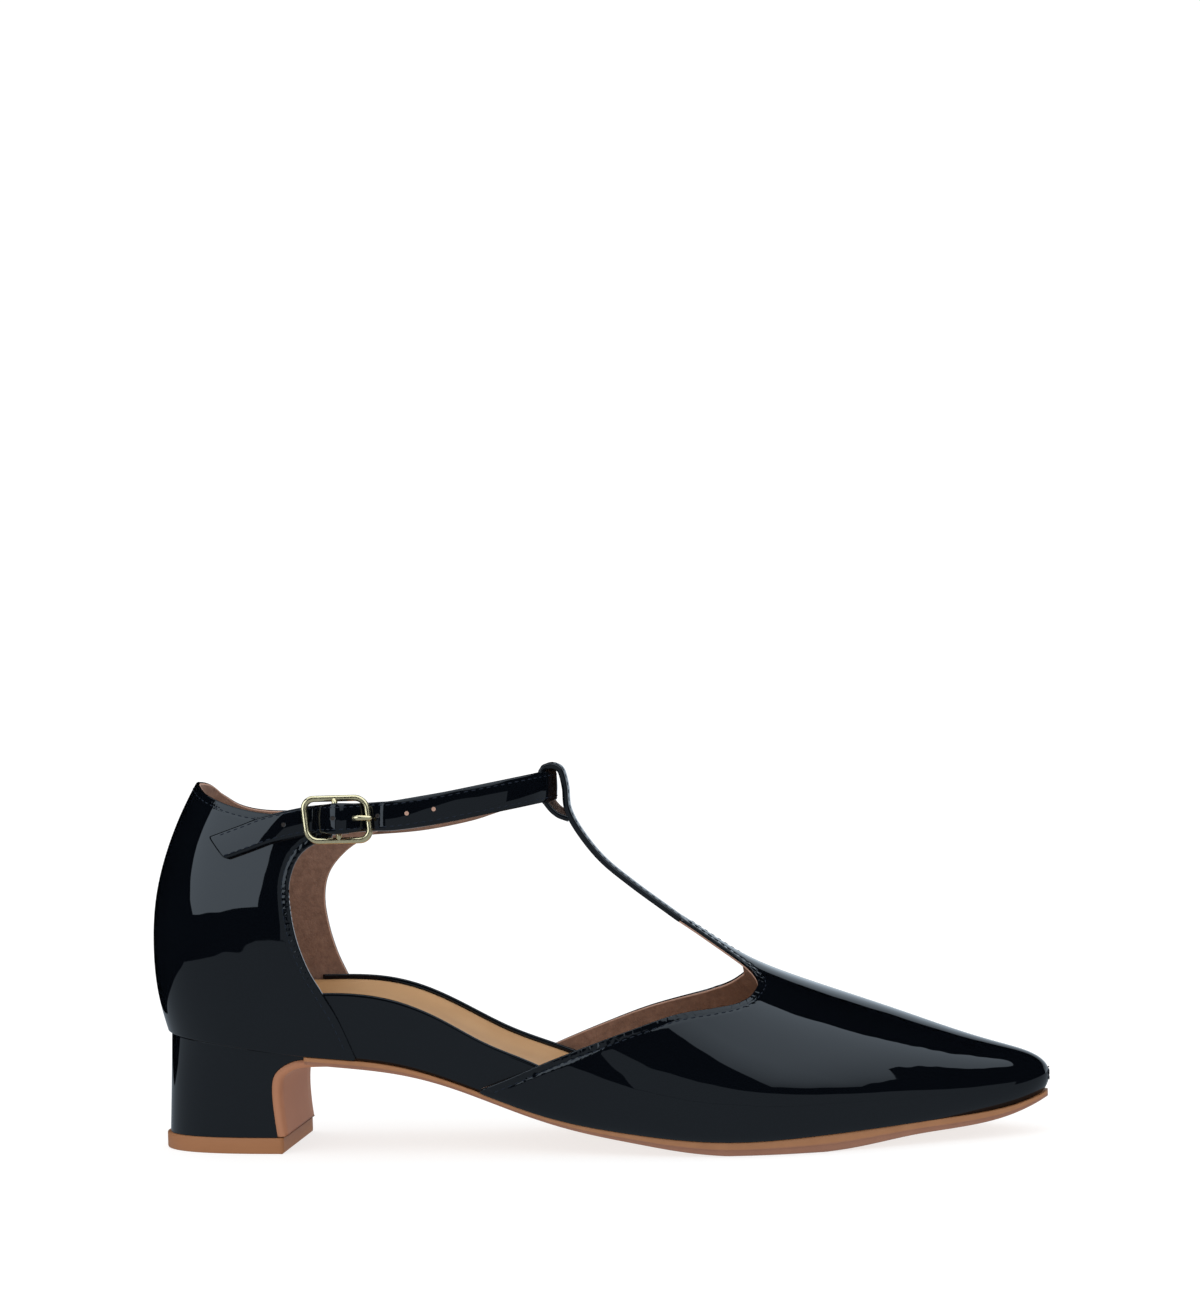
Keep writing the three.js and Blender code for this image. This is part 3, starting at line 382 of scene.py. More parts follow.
def depth_in(x, z, region):
    """How deep points lie inside a side view region, negative outside it."""
    best = np.full(np.shape(x), np.inf)
    inside = np.zeros(np.shape(x), bool)
    for (x0, z0), (x1, z1) in zip(region, np.roll(region, -1, axis=0)):
        run = (x1 - x0) ** 2 + (z1 - z0) ** 2
        if run < 1e-12:
            continue
        t = np.clip(((x - x0) * (x1 - x0) + (z - z0) * (z1 - z0)) / run, 0, 1)
        best = np.minimum(best, (x - x0 - t * (x1 - x0)) ** 2 + (z - z0 - t * (z1 - z0)) ** 2)
        if z0 != z1:
            crosses = (z > min(z0, z1)) & (z <= max(z0, z1)) & (x < x0 + (z - z0) * (x1 - x0) / (z1 - z0))
            inside ^= crosses
    return np.where(inside, 1, -1) * np.sqrt(best)


def soft_least(values, softness):
    """Smallest of several values, rounded where they cross."""
    values = np.stack(values)
    least = values.min(axis=0)
    return least - softness * np.log(np.exp(-(values - least) / softness).sum(axis=0))


def trimmed(point, keep, us, vs):
    """Grid over a surface, cut where keep turns negative, its nearest vertices moved onto the cut.
    Returns each vertex's u and v, and the faces."""
    u, v = np.meshgrid(us, vs, indexing="ij")
    start_u, start_v = u.copy(), v.copy()

    def depth(a, b):
        return keep(point(a, b))

    value = depth(u, v)
    state = np.sign(value).astype(int)
    moves = []
    for step in ((1, 0), (0, 1)):
        head = (slice(0, u.shape[0] - step[0]), slice(0, u.shape[1] - step[1]))
        tail = (slice(step[0], None), slice(step[1], None))
        i, j = np.nonzero(value[head] * value[tail] < 0)
        u0, v0, u1, v1 = start_u[i, j], start_v[i, j], start_u[i + step[0], j + step[1]], start_v[
            i + step[0], j + step[1]]
        kept = value[i, j] > 0
        low, high = np.zeros(len(i)), np.ones(len(i))
        for _ in range(14):
            mid = (low + high) / 2
            same = (depth(u0 + (u1 - u0) * mid, v0 + (v1 - v0) * mid) > 0) == kept
            low = np.where(same, mid, low)
            high = np.where(same, high, mid)
        t = (low + high) / 2
        near = t <= 0.5
        moves.append(np.stack([
            np.where(near, i, i + step[0]), np.where(near, j, j + step[1]), np.where(near, t, 1 - t),
            u0 + (u1 - u0) * t, v0 + (v1 - v0) * t,
        ], axis=1))
    moves = np.concatenate(moves)
    for i, j, _, new_u, new_v in moves[np.argsort(-moves[:, 2], kind="stable")]:
        u[int(i), int(j)], v[int(i), int(j)], state[int(i), int(j)] = new_u, new_v, 0

    index = np.arange(u.size).reshape(u.shape)
    faces = []
    for i in range(u.shape[0] - 1):
        for j in range(u.shape[1] - 1):
            corners = ((i, j), (i + 1, j), (i + 1, j + 1), (i, j + 1))
            kept = [c for c in corners if state[c] >= 0]
            if len(kept) < 3:
                continue
            if all(state[c] == 0 for c in kept):
                mid_u = sum(u[c] for c in kept) / len(kept)
                mid_v = sum(v[c] for c in kept) / len(kept)
                if depth(np.array(mid_u), np.array(mid_v)) <= 0:
                    continue
            faces.append([int(index[c]) for c in kept])
    used = sorted({i for face in faces for i in face})
    renamed = {old: new for new, old in enumerate(used)}
    return u.ravel()[used], v.ravel()[used], [[renamed[i] for i in face] for face in faces]


def loops_of(faces):
    """Open edges of a mesh, chained into loops that keep the faces on their left."""
    edges = {}
    for face in faces:
        for a, b in zip(face, face[1:] + face[:1]):
            edges[(a, b)] = True
    after = {a: b for a, b in edges if (b, a) not in edges}
    loops = []
    while after:
        start, here = next(iter(after.items()))
        loop = [start]
        del after[start]
        while here != start and here in after:
            loop.append(here)
            here = after.pop(here)
        loops.append(loop)
    return loops


SHORTEST_LOOP = 30


class Skin:
    """A cut surface with its normals, and the frames along its edges."""

    def __init__(self, point, keep, us, vs, steps):
        u, v, faces = trimmed(point, keep, us, vs)
        self.points = point(u, v)
        self.normals = face_normals(point, u, v, steps)
        a, b, c = (self.points[[face[k] for face in faces]] for k in range(3))
        out = np.einsum("ij,ij->i", np.cross(b - a, c - a), self.normals[[face[0] for face in faces]])
        if np.median(out) < 0:
            faces = [face[::-1] for face in faces]
        self.faces = faces
        self.loops = [loop for loop in loops_of(faces) if len(loop) > SHORTEST_LOOP]
        self.edges = [self.edge_frame(loop) for loop in self.loops]

    def edge_frame(self, loop):
        at = self.points[loop]
        normal = self.normals[loop]
        run = np.roll(at, -2, axis=0) - np.roll(at, 2, axis=0)
        away = unit(np.cross(run, normal))
        for _ in range(3):
            away = (np.roll(away, 1, axis=0) + 2 * away + np.roll(away, -1, axis=0)) / 4
        return at, normal, unit(away)


def rounded_rim(width, deep, count=5):
    """Profile of a turned edge: how far out, how far up, and the normal's two parts."""
    turn = np.linspace(0, math.pi / 2, count + 1)[1:]
    rows = [(width * math.sin(t), -width * (1 - math.cos(t)), math.sin(t), math.cos(t)) for t in turn]
    return rows + [(width, -deep, 1.0, 0.0)]


FAR_FROM_SEAM = 99.0
BLOCK = 4000  # points whose distance to the seams is worked out at once


def skin_mesh(name, skin, lift, rim, materials, facing=1):
    """Mesh of a skin, lifted off its surface, with a rim on each edge that takes the last material.
    facing -1 turns it inwards."""
    points = [skin.points + lift * skin.normals]
    normals = [skin.normals * facing]
    faces = [list(face) if facing > 0 else face[::-1] for face in skin.faces]
    total = len(skin.points)
    for loop, (at, normal, away) in zip(skin.loops, skin.edges):
        before = np.array(loop)
        for out, up, normal_out, normal_up in rim:
            points.append(at + lift * normal + out * away + up * facing * normal)
            normals.append(normal_out * away + normal_up * facing * normal)
            row = np.arange(total, total + len(loop))
            total += len(loop)
            for k in range(len(loop)):
                m = (k + 1) % len(loop)
                quad = [int(before[m]), int(before[k]), int(row[k]), int(row[m])]
                faces.append(quad if facing > 0 else quad[::-1])
            before = row
    points = np.concatenate(points)
    sewn = np.concatenate([at[sewn_part(at)] for at, _, _ in skin.edges])
    edge = np.full(len(points), FAR_FROM_SEAM)
    for start in range(0, len(points) if len(sewn) else 0, BLOCK):
        part = points[start:start + BLOCK]
        edge[start:start + BLOCK] = np.linalg.norm(part[:, None, :] - sewn[None, ::2, :], axis=2).min(axis=1)
    slots = [0] * len(skin.faces) + [len(materials) - 1] * (len(faces) - len(skin.faces))
    return add_mesh(name, points, faces, materials, slots=slots, normals=np.concatenate(normals), edge=edge)


def sewn_part(at):
    """Which points of an edge carry a seam: all but those along the sole."""
    return at[:, 2] - sole_top(at[:, 0]) > SEAM_START


# Meshes

def point_values(mesh, name, values):
    mesh.attributes.new(name, "FLOAT", "POINT").data.foreach_set("value", np.asarray(values, float))


def linked(name, data):
    """New object in the scene."""
    made = bpy.data.objects.new(name, data)
    bpy.context.collection.objects.link(made)
    return made


def add_mesh(name, points, faces, materials, slots=None, normals=None, edge=None):
    mesh = bpy.data.meshes.new(name)
    mesh.from_pydata(((np.asarray(points) + ORIGIN) * MM).tolist(), [], faces)
    for material in materials:
        mesh.materials.append(material)
    mesh.polygons.foreach_set("use_smooth", [True] * len(mesh.polygons))
    if slots is not None:
        mesh.polygons.foreach_set("material_index", slots)
    if edge is not None:
        point_values(mesh, "edge", edge)
    if normals is not None:
        mesh.normals_split_custom_set_from_vertices(normals.tolist())
    mesh.update()
    piece = linked(name, mesh)
    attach(piece, "root")
    return piece


def tube_faces(rows, columns, closed_rows=False, base=0):
    """Quads between rows of points, row by row."""
    faces = []
    for i in range(rows if closed_rows else rows - 1):
        for j in range(columns):
            a = base + i * columns + j
            b = base + i * columns + (j + 1) % columns
            c = base + ((i + 1) % rows) * columns + (j + 1) % columns
            d = base + ((i + 1) % rows) * columns + j
            faces.append([a, b, c, d])
    return faces


def outward(points, faces):
    """The faces turned so that a closed mesh faces outwards."""
    volume = 0.0
    for face in faces:
        a, b, c = points[face[0]], points[face[1]], points[face[2]]
        volume += np.dot(a, np.cross(b, c))
        if len(face) == 4:
            volume += np.dot(a, np.cross(c, points[face[3]]))
    return faces if volume > 0 else [face[::-1] for face in faces]


def lofted(name, rings, materials, slot_of=None, joined=False):
    """Closed mesh through rings of points, its ends fanned shut or joined to each other.
    slot_of says which faces, by number, take the second material."""
    rows, columns = rings.shape[:2]
    points = rings.reshape(-1, 3)
    faces = tube_faces(rows, columns, closed_rows=joined)
    if not joined:
        ends = np.stack([rings[0].mean(axis=0), rings[-1].mean(axis=0)])
        first = len(points)
        points = np.concatenate([points, ends])
        last_row = (rows - 1) * columns
        for j in range(columns):
            k = (j + 1) % columns
            faces.append([k, j, first])
            faces.append([last_row + j, last_row + k, first + 1])
    faces = outward(points, faces)
    slots = None
    if slot_of is not None:
        slots = [int(slot_of(k)) for k in range(len(faces))]
    return add_mesh(name, points, faces, materials, slots=slots)


# Materials

def nodes_of(name):
    material = bpy.data.materials.new(name)
    material.use_nodes = True
    tree = material.node_tree
    return material, tree, tree.nodes["Principled BSDF"]


def add_node(tree, kind, inputs=(), **settings):
    made = tree.nodes.new(kind)
    for key, value in settings.items():
        setattr(made, key, value)
    for key, value in dict(inputs).items():
        if hasattr(value, "is_output"):
            tree.links.new(value, made.inputs[key])
        else:
            made.inputs[key].default_value = value
    return made


def noise(tree, scale, detail=2.0, roughness=0.5, stretch=(1, 1, 1)):
    """Noise over the object's own coordinates; scale is features per metre."""
    where = add_node(tree, "ShaderNodeTexCoord").outputs["Object"]
    if stretch != (1, 1, 1):
        where = add_node(tree, "ShaderNodeMapping", {"Vector": where, "Scale": stretch}).outputs["Vector"]
    made = add_node(tree, "ShaderNodeTexNoise", {
        "Vector": where, "Scale": scale, "Detail": detail, "Roughness": roughness})
    return made.outputs["Fac"]


def mixed(tree, factor, dark, light):
    """Two colours mixed by a factor."""
    made = tree.nodes.new("ShaderNodeMix")
    made.data_type = "RGBA"
    tree.links.new(factor, made.inputs["Factor"])
    made.inputs[6].default_value = (*dark, 1)
    made.inputs[7].default_value = (*light, 1)
    return made.outputs[2]


def finish(shader, **values):
    """Sets the shader's own sockets, their names written with underscores."""
    for key, value in values.items():
        shader.inputs[key.replace("_", " ")].default_value = value


def maths(tree, operation, a, b=None, c=None):
    made = add_node(tree, "ShaderNodeMath", operation=operation)
    for socket, value in zip(made.inputs, (a, b, c)):
        if value is None:
            continue
        if hasattr(value, "is_output"):
            tree.links.new(value, socket)
        else:
            socket.default_value = value
    return made.outputs[0]


def ramp(tree, factor, *stops):
    """Greys by factor: stops are (place, value)."""
    made = add_node(tree, "ShaderNodeValToRGB", {"Fac": factor})
    ramped = made.color_ramp
    while len(ramped.elements) < len(stops):
        ramped.elements.new(0.5)
    for element, (place, value) in zip(ramped.elements, stops):
        element.position = place
        element.color = (value, value, value, 1)
    return made.outputs["Color"]


def bumped(tree, shader, *heights):
    """Bumps one after another: (height, distance in metres)."""
    normal = None
    for height, distance in heights:
        made = add_node(tree, "ShaderNodeBump", {"Height": height, "Distance": distance, "Strength": 1.0})
        if normal is not None:
            tree.links.new(normal, made.inputs["Normal"])
        normal = made.outputs["Normal"]
    tree.links.new(normal, shader.inputs["Normal"])
    tree.links.new(normal, shader.inputs["Coat Normal"])


def patent_leather(name="navy_patent", seam=None):
    """Deep navy leather under a clear gloss coat, drawn in along a seam line."""
    material, tree, shader = nodes_of(name)
    tone = mixed(tree, noise(tree, 35, 3), (0.0014, 0.002, 0.0032), (0.0022, 0.0031, 0.0048))
    tree.links.new(tone, shader.inputs["Base Color"])
    finish(shader, Roughness=0.3, Specular_IOR_Level=0.0, Coat_Weight=1.0, Coat_Roughness=0.02, Coat_IOR=1.5)
    waves = noise(tree, 26, 0.6, stretch=(0.8, 1, 1))
    ripples = noise(tree, 90, 1.0)
    heights = [(waves, 0.0015), (ripples, 0.00009)]
    if seam is not None:
        edge = add_node(tree, "ShaderNodeAttribute", attribute_name="edge").outputs["Fac"]
        away = maths(tree, "DIVIDE", maths(tree, "SUBTRACT", edge, seam), 0.55)
        groove = maths(tree, "EXPONENT", maths(tree, "MULTIPLY", maths(tree, "MULTIPLY", away, away), -1.0))
        heights.append((maths(tree, "MULTIPLY", groove, -1.0), 0.00012))
    bumped(tree, shader, *heights)
    return material


def suede_lining():
    material, tree, shader = nodes_of("brown_lining")
    tone = mixed(tree, ramp(tree, noise(tree, 420, 6, 0.7), (0.3, 0), (0.72, 1)), (0.17, 0.095, 0.066),
                 (0.29, 0.17, 0.122))
    tree.links.new(tone, shader.inputs["Base Color"])
    finish(shader, Roughness=0.85, Sheen_Weight=0.15, Sheen_Roughness=0.5)
    bumped(tree, shader, (noise(tree, 160, 4, 0.6), 0.0005), (noise(tree, 1500, 4, 0.7), 0.00012))
    return material


def smooth_leather(name, dark, light, roughness, grain=0.00003):
    """Plain leather with soft blotches and a fine grain, whose height is in metres."""
    material, tree, shader = nodes_of(name)
    tree.links.new(mixed(tree, noise(tree, 60, 4), dark, light), shader.inputs["Base Color"])
    finish(shader, Roughness=roughness)
    bumped(tree, shader, (noise(tree, 900, 5, 0.65), grain), (noise(tree, 90, 3), 0.0001))
    return material


def sole_edge_finish():
    """Painted sole edge: an orange-brown upper tone and a pinkish-brown lower one."""
    material, tree, shader = nodes_of("sole_edge")
    edge = add_node(tree, "ShaderNodeAttribute", attribute_name="edge").outputs["Fac"]
    lower = ramp(tree, maths(tree, "ADD", edge, maths(tree, "MULTIPLY", noise(tree, 300, 3), 0.06)), (0.45, 0),
                 (0.6, 1))
    tone = add_node(tree, "ShaderNodeMix", data_type="RGBA")
    tree.links.new(lower, tone.inputs["Factor"])
    tree.links.new(mixed(tree, noise(tree, 200, 4), (0.27, 0.115, 0.045), (0.36, 0.165, 0.07)), tone.inputs[6])
    tree.links.new(mixed(tree, noise(tree, 200, 4), (0.235, 0.105, 0.062), (0.3, 0.14, 0.085)), tone.inputs[7])
    tree.links.new(tone.outputs[2], shader.inputs["Base Color"])
    finish(shader, Roughness=0.5)
    bumped(tree, shader, (noise(tree, 700, 4, stretch=(0.25, 1, 2)), 0.00006))
    return material


def gold():
    material, tree, shader = nodes_of("pale_gold")
    tone = mixed(tree, noise(tree, 500, 3), (0.97, 0.78, 0.44), (1.0, 0.85, 0.52))
    tree.links.new(tone, shader.inputs["Base Color"])
    finish(shader, Metallic=1.0)
    rough = maths(tree, "MULTIPLY_ADD", noise(tree, 900, 4), 0.08, 0.2)
    tree.links.new(rough, shader.inputs["Roughness"])
    bumped(tree, shader, (noise(tree, 400, 3), 0.00003))
    return material


PATENT_SEAM = patent_leather("navy_patent_seamed", seam=1.7)
PATENT_PLAIN = patent_leather("navy_patent")
LINING_SUEDE = suede_lining()
RAW_EDGE = smooth_leather("raw_lining_edge", (0.34, 0.2, 0.15), (0.46, 0.29, 0.22), 0.8)
FOOTBED = smooth_leather("tan_footbed", (0.45, 0.245, 0.105), (0.6, 0.36, 0.175), 0.55)
SOLE_BOTTOM = smooth_leather("sole_bottom", (0.33, 0.18, 0.1), (0.42, 0.245, 0.14), 0.6)
FLAP = smooth_leather("breast_flap", (0.34, 0.14, 0.07), (0.4, 0.175, 0.09), 0.6)
LIFT = smooth_leather("top_lift", (0.28, 0.11, 0.04), (0.33, 0.14, 0.052), 0.55)
SOLE_EDGE = sole_edge_finish()
GOLD = gold()
THREAD = smooth_leather("navy_thread", (0.006, 0.009, 0.016), (0.012, 0.017, 0.028), 0.35, grain=0.0001)
finish(THREAD.node_tree.nodes["Principled BSDF"], Specular_IOR_Level=0.15)
finish(FOOTBED.node_tree.nodes["Principled BSDF"], Specular_IOR_Level=0.25)
# Near-black colour painted as the shade inside the punched holes, which are not cut through
HOLE_SHADE = smooth_leather("punched_hole_shade", (0.01, 0.008, 0.007), (0.03, 0.02, 0.015), 0.8)

# Regions, seen from the side

LOW = -20.0
HIGH = 160.0


def quarter_region(column, line):
    top = side_curve(line, BACK_HEIGHT)
    front = side_curve(QUARTER_FRONT, BACK_HEIGHT, column)
    ear = front[0]
    top = top[top[:, 0] < ear[0] - 0.1]
    corner = np.array([[ear[0], np.interp(ear[0], line["along"] * SHOE_LENGTH, line["height"] * BACK_HEIGHT)]])
    return np.concatenate([[[-30.0, top[0, 1]]], top, corner, front, [[front[-1, 0] + 2, LOW], [-30.0, LOW]]])


QUARTER_SIDE = {-1: quarter_region("along", TOPLINE), 1: quarter_region("inner", INNER_TOPLINE)}


def keep_quarter(p):
    x, y, z = p[..., 0], p[..., 1], p[..., 2]
    outer = depth_in(x, z, QUARTER_SIDE[-1])
    inner = depth_in(x, z, QUARTER_SIDE[1])
    inside = np.where(y < 0, outer, inner)
    return np.minimum(inside, z - sole_top(x) - EDGE_GROOVE)


def opening_region(column):
    line = side_curve(VAMP_OPENING, BACK_HEIGHT, column)
    return np.concatenate([line, [[line[-1, 0] + 0.5, HIGH], [-30.0, HIGH], [-30.0, line[0, 1] - 8]]])


OPENING_SIDE = {-1: opening_region("along"), 1: opening_region("inner")}
STRAP_CUT = 0.6 * SHOE_LENGTH  # the T-strap is its own ribbon behind this place
STRAP_FOOT = 0.95 * INSTEP_HEIGHT  # and above this height
THROAT_SOFTNESS = 0.9


def keep_vamp(p):
    x, y, z = p[..., 0], p[..., 1], p[..., 2]
    above = np.where(y < 0, depth_in(x, z, OPENING_SIDE[-1]), depth_in(x, z, OPENING_SIDE[1]))
    beside = np.abs(y - t_strap_line(x)) - throat_half(x / SHOE_LENGTH) * T_STRAP_WIDTH
    opened_side = soft_least([above, beside], THROAT_SOFTNESS)
    rear_strap = soft_least([STRAP_CUT - x, z - STRAP_FOOT], 0.05)
    return np.minimum(np.minimum(-opened_side, -rear_strap), z - sole_top(x) - 0.05)


PATENT_RIM = rounded_rim(0.35, PATENT + RIM_LAP)
LINING_RIM = rounded_rim(0.3, LINING - RIM_LAP)


def upper_skins():
    vamp = Skin(
        vamp_point, keep_vamp, np.linspace(NOSE_STEP, math.sqrt(SHOE_LENGTH - VAMP_BACK + 2), 230),
        np.linspace(0.35, 3.65, 190), VAMP_STEPS,
    )
    quarter = Skin(cup_point, keep_quarter, np.linspace(-1, 1, 270), np.linspace(22, 112, 120), CUP_STEPS)
    outer = skin_mesh("vamp_patent", vamp, 0.0, PATENT_RIM, [PATENT_SEAM])
    inner = skin_mesh("vamp_lining", vamp, -WALL, LINING_RIM, [LINING_SUEDE, RAW_EDGE], facing=-1)
    back = skin_mesh("quarter_patent", quarter, 0.0, PATENT_RIM, [PATENT_SEAM])
    back_lining = skin_mesh("quarter_lining", quarter, -WALL, LINING_RIM, [LINING_SUEDE, RAW_EDGE], facing=-1)
    for piece in (outer, inner, back, back_lining):
        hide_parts("upper")
    return vamp, quarter


vamp_skin, quarter_skin = upper_skins()


def bands():
    """Waist band on either side, between quarter and vamp."""
    for side, name in ((-1, "band_outer"), (1, "band_inner")):
        shares = np.linspace(0.02, 1, 16)
        turn = np.linspace(0, math.pi, 7)[1:-1]
        ring_size = 2 * len(shares) + len(turn)
        lining_from = len(shares) + len(turn) + 1
        rings = []
        for x in np.linspace(BAND_FROM, BAND_TO, 110):
            outer = band_point(x, shares, side)
            over = -side * WALL / 2 * (1 - np.cos(turn))
            top = outer[-1] + np.stack([np.zeros(len(turn)), over, 0.3 * np.sin(turn)], axis=1)
            inner = outer[::-1] - np.array([0, side * WALL, 0])
            rings.append(np.concatenate([outer, top, inner]))
        piece = lofted(name, np.array(rings), [PATENT_PLAIN, LINING_SUEDE],
                       slot_of=lambda k: k % ring_size > lining_from)
        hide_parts("upper")


bands()

# Footbed and sole


def insole():
    gap = WALL + INSOLE_FIT
    back = SOLE_BACK + gap
    turn = np.sin(np.linspace(-math.pi / 2, math.pi / 2, 200)) / 2 + 0.5
    shares = np.linspace(-1, 1, 41)
    rings = []
    for x in back + 0.2 + turn * (SOLE_TIP - INSOLE_TOE_GAP - 0.3 - back):
        low = sole_top(x) + 1.5 * FIT
        tucked = TOE_TUCK * eased(x, 0.7 * SHOE_LENGTH, 0.94 * SHOE_LENGTH)
        toe = opened(SOLE_TIP - INSOLE_TOE_GAP - tucked - x, TOE_ROUNDNESS)
        heel = opened(x - SOLE_BACK - gap - tucked, HEEL_ROUNDNESS)
        base = max(sole_half(x) - gap - tucked, 0.5) * toe * heel
        flare = 0.8 * BAND_OUT * opened(SOLE_TIP - INSOLE_TOE_GAP - x, TOE_ROUNDNESS)
        dish = INSOLE_DISH * (1 - 0.75 * eased(x, 0.35 * SHOE_LENGTH, 0.65 * SHOE_LENGTH))
        depth = dish * min(1, 2 * base / HEEL_BASE_WIDTH)
        edge = footbed_edge(x, shares) - INSOLE_SINK
        top = stacked(x, centre_line(x) + shares * (base + flare),
                      edge - depth * (1 - shares**4) * (1 - 0.25 * shares**2))
        rounding = 0.5 * np.clip((np.abs(shares) - 0.9) / 0.1, 0, 1) ** 2
        top[:, 2] -= rounding
        sides = []
        for sign in (1, -1):
            edge_z = footbed_edge(x, sign) - INSOLE_SINK
            walls = [(0.8, (low + edge_z) / 2), (0.0, low)]
            rows = [(x, centre_line(x) + sign * (base + flare * share), z) for share, z in walls]
            sides.append(rows if sign > 0 else rows[::-1])
        rings.append(np.concatenate([top, np.array(sides[0]), np.array(sides[1])]))
    piece = lofted("footbed", np.array(rings), [FOOTBED])
    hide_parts("insole")


# Side of the sole from its top to its bottom: how far it is drawn in, in mm, and how far down, as a share
EDGE_PROFILE = table(
    "drawn down",
    (0.4, 0.0), (0.08, 0.05), (0.0, 0.14), (0.0, 0.46), (0.08, 0.53), (0.55, 0.57), (0.66, 0.64), (0.7, 0.8),
    (1.1, 0.93), (2.0, 1.0),
)


def outsole():
    turn = np.sin(np.linspace(0, math.pi / 2, 260))
    rings, shares = [], []
    for x in FLAP_START + turn * (SOLE_TIP - 0.02 - FLAP_START):
        high, low = float(sole_top(x)), float(sole_bottom(x))
        half = min(float(sole_edge(x)) + EDGE_OUT, float(sole_edge(x)) * 3 + 0.2)
        z = high + (low - high) * EDGE_PROFILE["down"]
        y = np.maximum(half - EDGE_PROFILE["drawn"], half * 0.6)
        middle = centre_line(x)
        ring = np.concatenate([stacked(x, middle - y, z), stacked(x, middle + y, z)[::-1]])
        rings.append(ring)
        shares.append(np.concatenate([EDGE_PROFILE["down"], EDGE_PROFILE["down"][::-1]]))
    count = len(EDGE_PROFILE["down"])
    piece = lofted("sole", np.array(rings), [SOLE_EDGE, SOLE_BOTTOM],
                   slot_of=lambda k: k % (2 * count) == count - 1)
    shares = np.concatenate([np.array(shares).ravel(), [0.5, 0.5]])
    point_values(piece.data, "edge", shares)
    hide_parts("outsole")


def heel_taper(z):
    """Width of the heel block at a height, as a share of the sole's, and where its back lies."""
    share = np.clip((z - LIFT_THICKNESS) / (HEEL_HEIGHT - LIFT_THICKNESS), 0, 1.2)
    narrow = HEEL_BASE_WIDTH / SEAT_WIDTH
    return narrow + (1 - narrow) * share**1.8, HEEL_BACK_INSET + (SOLE_BACK - HEEL_BACK_INSET) * share


def heel_point(t, z):
    width, back = heel_taper(z)
    s = t * t * 0.21 * SHOE_LENGTH
    return stacked(back + s, centre_line(back + s) + np.sign(t) * sole_edge(SOLE_BACK + s) * width, z)


BREAST_LINE = side_curve(BREAST, HEEL_HEIGHT)


def heel_block():
    line = BREAST_LINE - [FIT, -FIT]
    back = np.linspace(line[0, 0], -20, 30)
    top = np.stack([back, sole_top(np.maximum(back, 0)) - EDGE_GROOVE], axis=1)
    foot = LIFT_THICKNESS + FIT / 2
    side = np.concatenate([line[line[:, 1] > foot], [[line[-1, 0], foot], [-20.0, foot]], top[::-1]])

    def keep(p):
        return depth_in(p[..., 0], p[..., 2], side)

    skin = Skin(heel_point, keep, np.linspace(-1, 1, 170), np.linspace(3, 36, 60), CUP_STEPS)
    piece = skin_mesh("heel_cover", skin, 0.0, rounded_rim(0.35, 1.2), [PATENT_PLAIN])
    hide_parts("heel_block")


def breast_flap():
    """Sole leather turned down the front of the heel."""
    line = BREAST_LINE[::-1]
    run = unit(np.gradient(line, axis=0))
    face = line + np.stack([run[:, 1], -run[:, 0]], axis=1) * FLAP_THICKNESS
    line, face = line[line[:, 1] > 0], face[line[:, 1] > 0]
    rings = []
    for (back_x, back_z), (face_x, face_z) in zip(line, face):
        ring = []
        for x, z, drawn in ((back_x, back_z, 0.0), (face_x, face_z, 0.35)):
            z = max(z, LIFT_THICKNESS + FIT)
            width, back = heel_taper(z)
            half = sole_edge(SOLE_BACK + x - back) * width - drawn
            ring.append([(x, centre_line(x) - half, z), (x, centre_line(x) + half, z)])
        (a, b), (c, d) = ring
        soft = np.linspace(0, 1, 3)[1:-1, None]
        a, b, c, d = map(np.array, (a, b, c, d))
        across = np.linspace(0, 1, 9)[:, None]
        rings.append(np.concatenate([a + (b - a) * across, b + (d - b) * soft, d + (c - d) * across,
                                     c + (a - c) * soft]))
    piece = lofted("breast_flap", np.array(rings), [FLAP])
    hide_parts("outsole")


def top_lift():
    t = np.linspace(-1, 1, 121)
    s = t * t * (LIFT_FRONT - HEEL_BACK_INSET)
    x = HEEL_BACK_INSET + s
    y = centre_line(x) + np.sign(t) * sole_edge(SOLE_BACK + s) * HEEL_BASE_WIDTH / SEAT_WIDTH
    middle = centre_line(LIFT_FRONT)
    y = middle + (y - middle) * (1 + LIFT_EDGE / HEEL_BASE_WIDTH)
    x = x - LIFT_EDGE * (1 - x / LIFT_FRONT)
    front = np.linspace(y[-1], y[0], 20)[1:-1]
    plan = np.concatenate([np.stack([x, y], axis=1), np.stack([np.full(18, x[-1]), front], axis=1)])
    run = np.roll(plan, -1, axis=0) - np.roll(plan, 1, axis=0)
    inward = np.stack([-run[:, 1], run[:, 0]], axis=1) / np.linalg.norm(run, axis=1, keepdims=True)
    if ((plan.mean(axis=0) - plan[60]) @ inward[60]) < 0:
        inward = -inward
    rings = []
    for z, drawn in ((0.0, 0.45), (0.12, 0.15), (0.4, 0.0), (2.2, 0.0), (4.2, 0.0), (4.42, 0.1), (4.5, 0.35)):
        ring = plan + inward * drawn
        rings.append(stacked(ring[:, 0], ring[:, 1], z))
    piece = lofted("lift", np.array(rings), [LIFT])
    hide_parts("top_lift")


insole()
outsole()
heel_block()
breast_flap()
top_lift()

# Straps

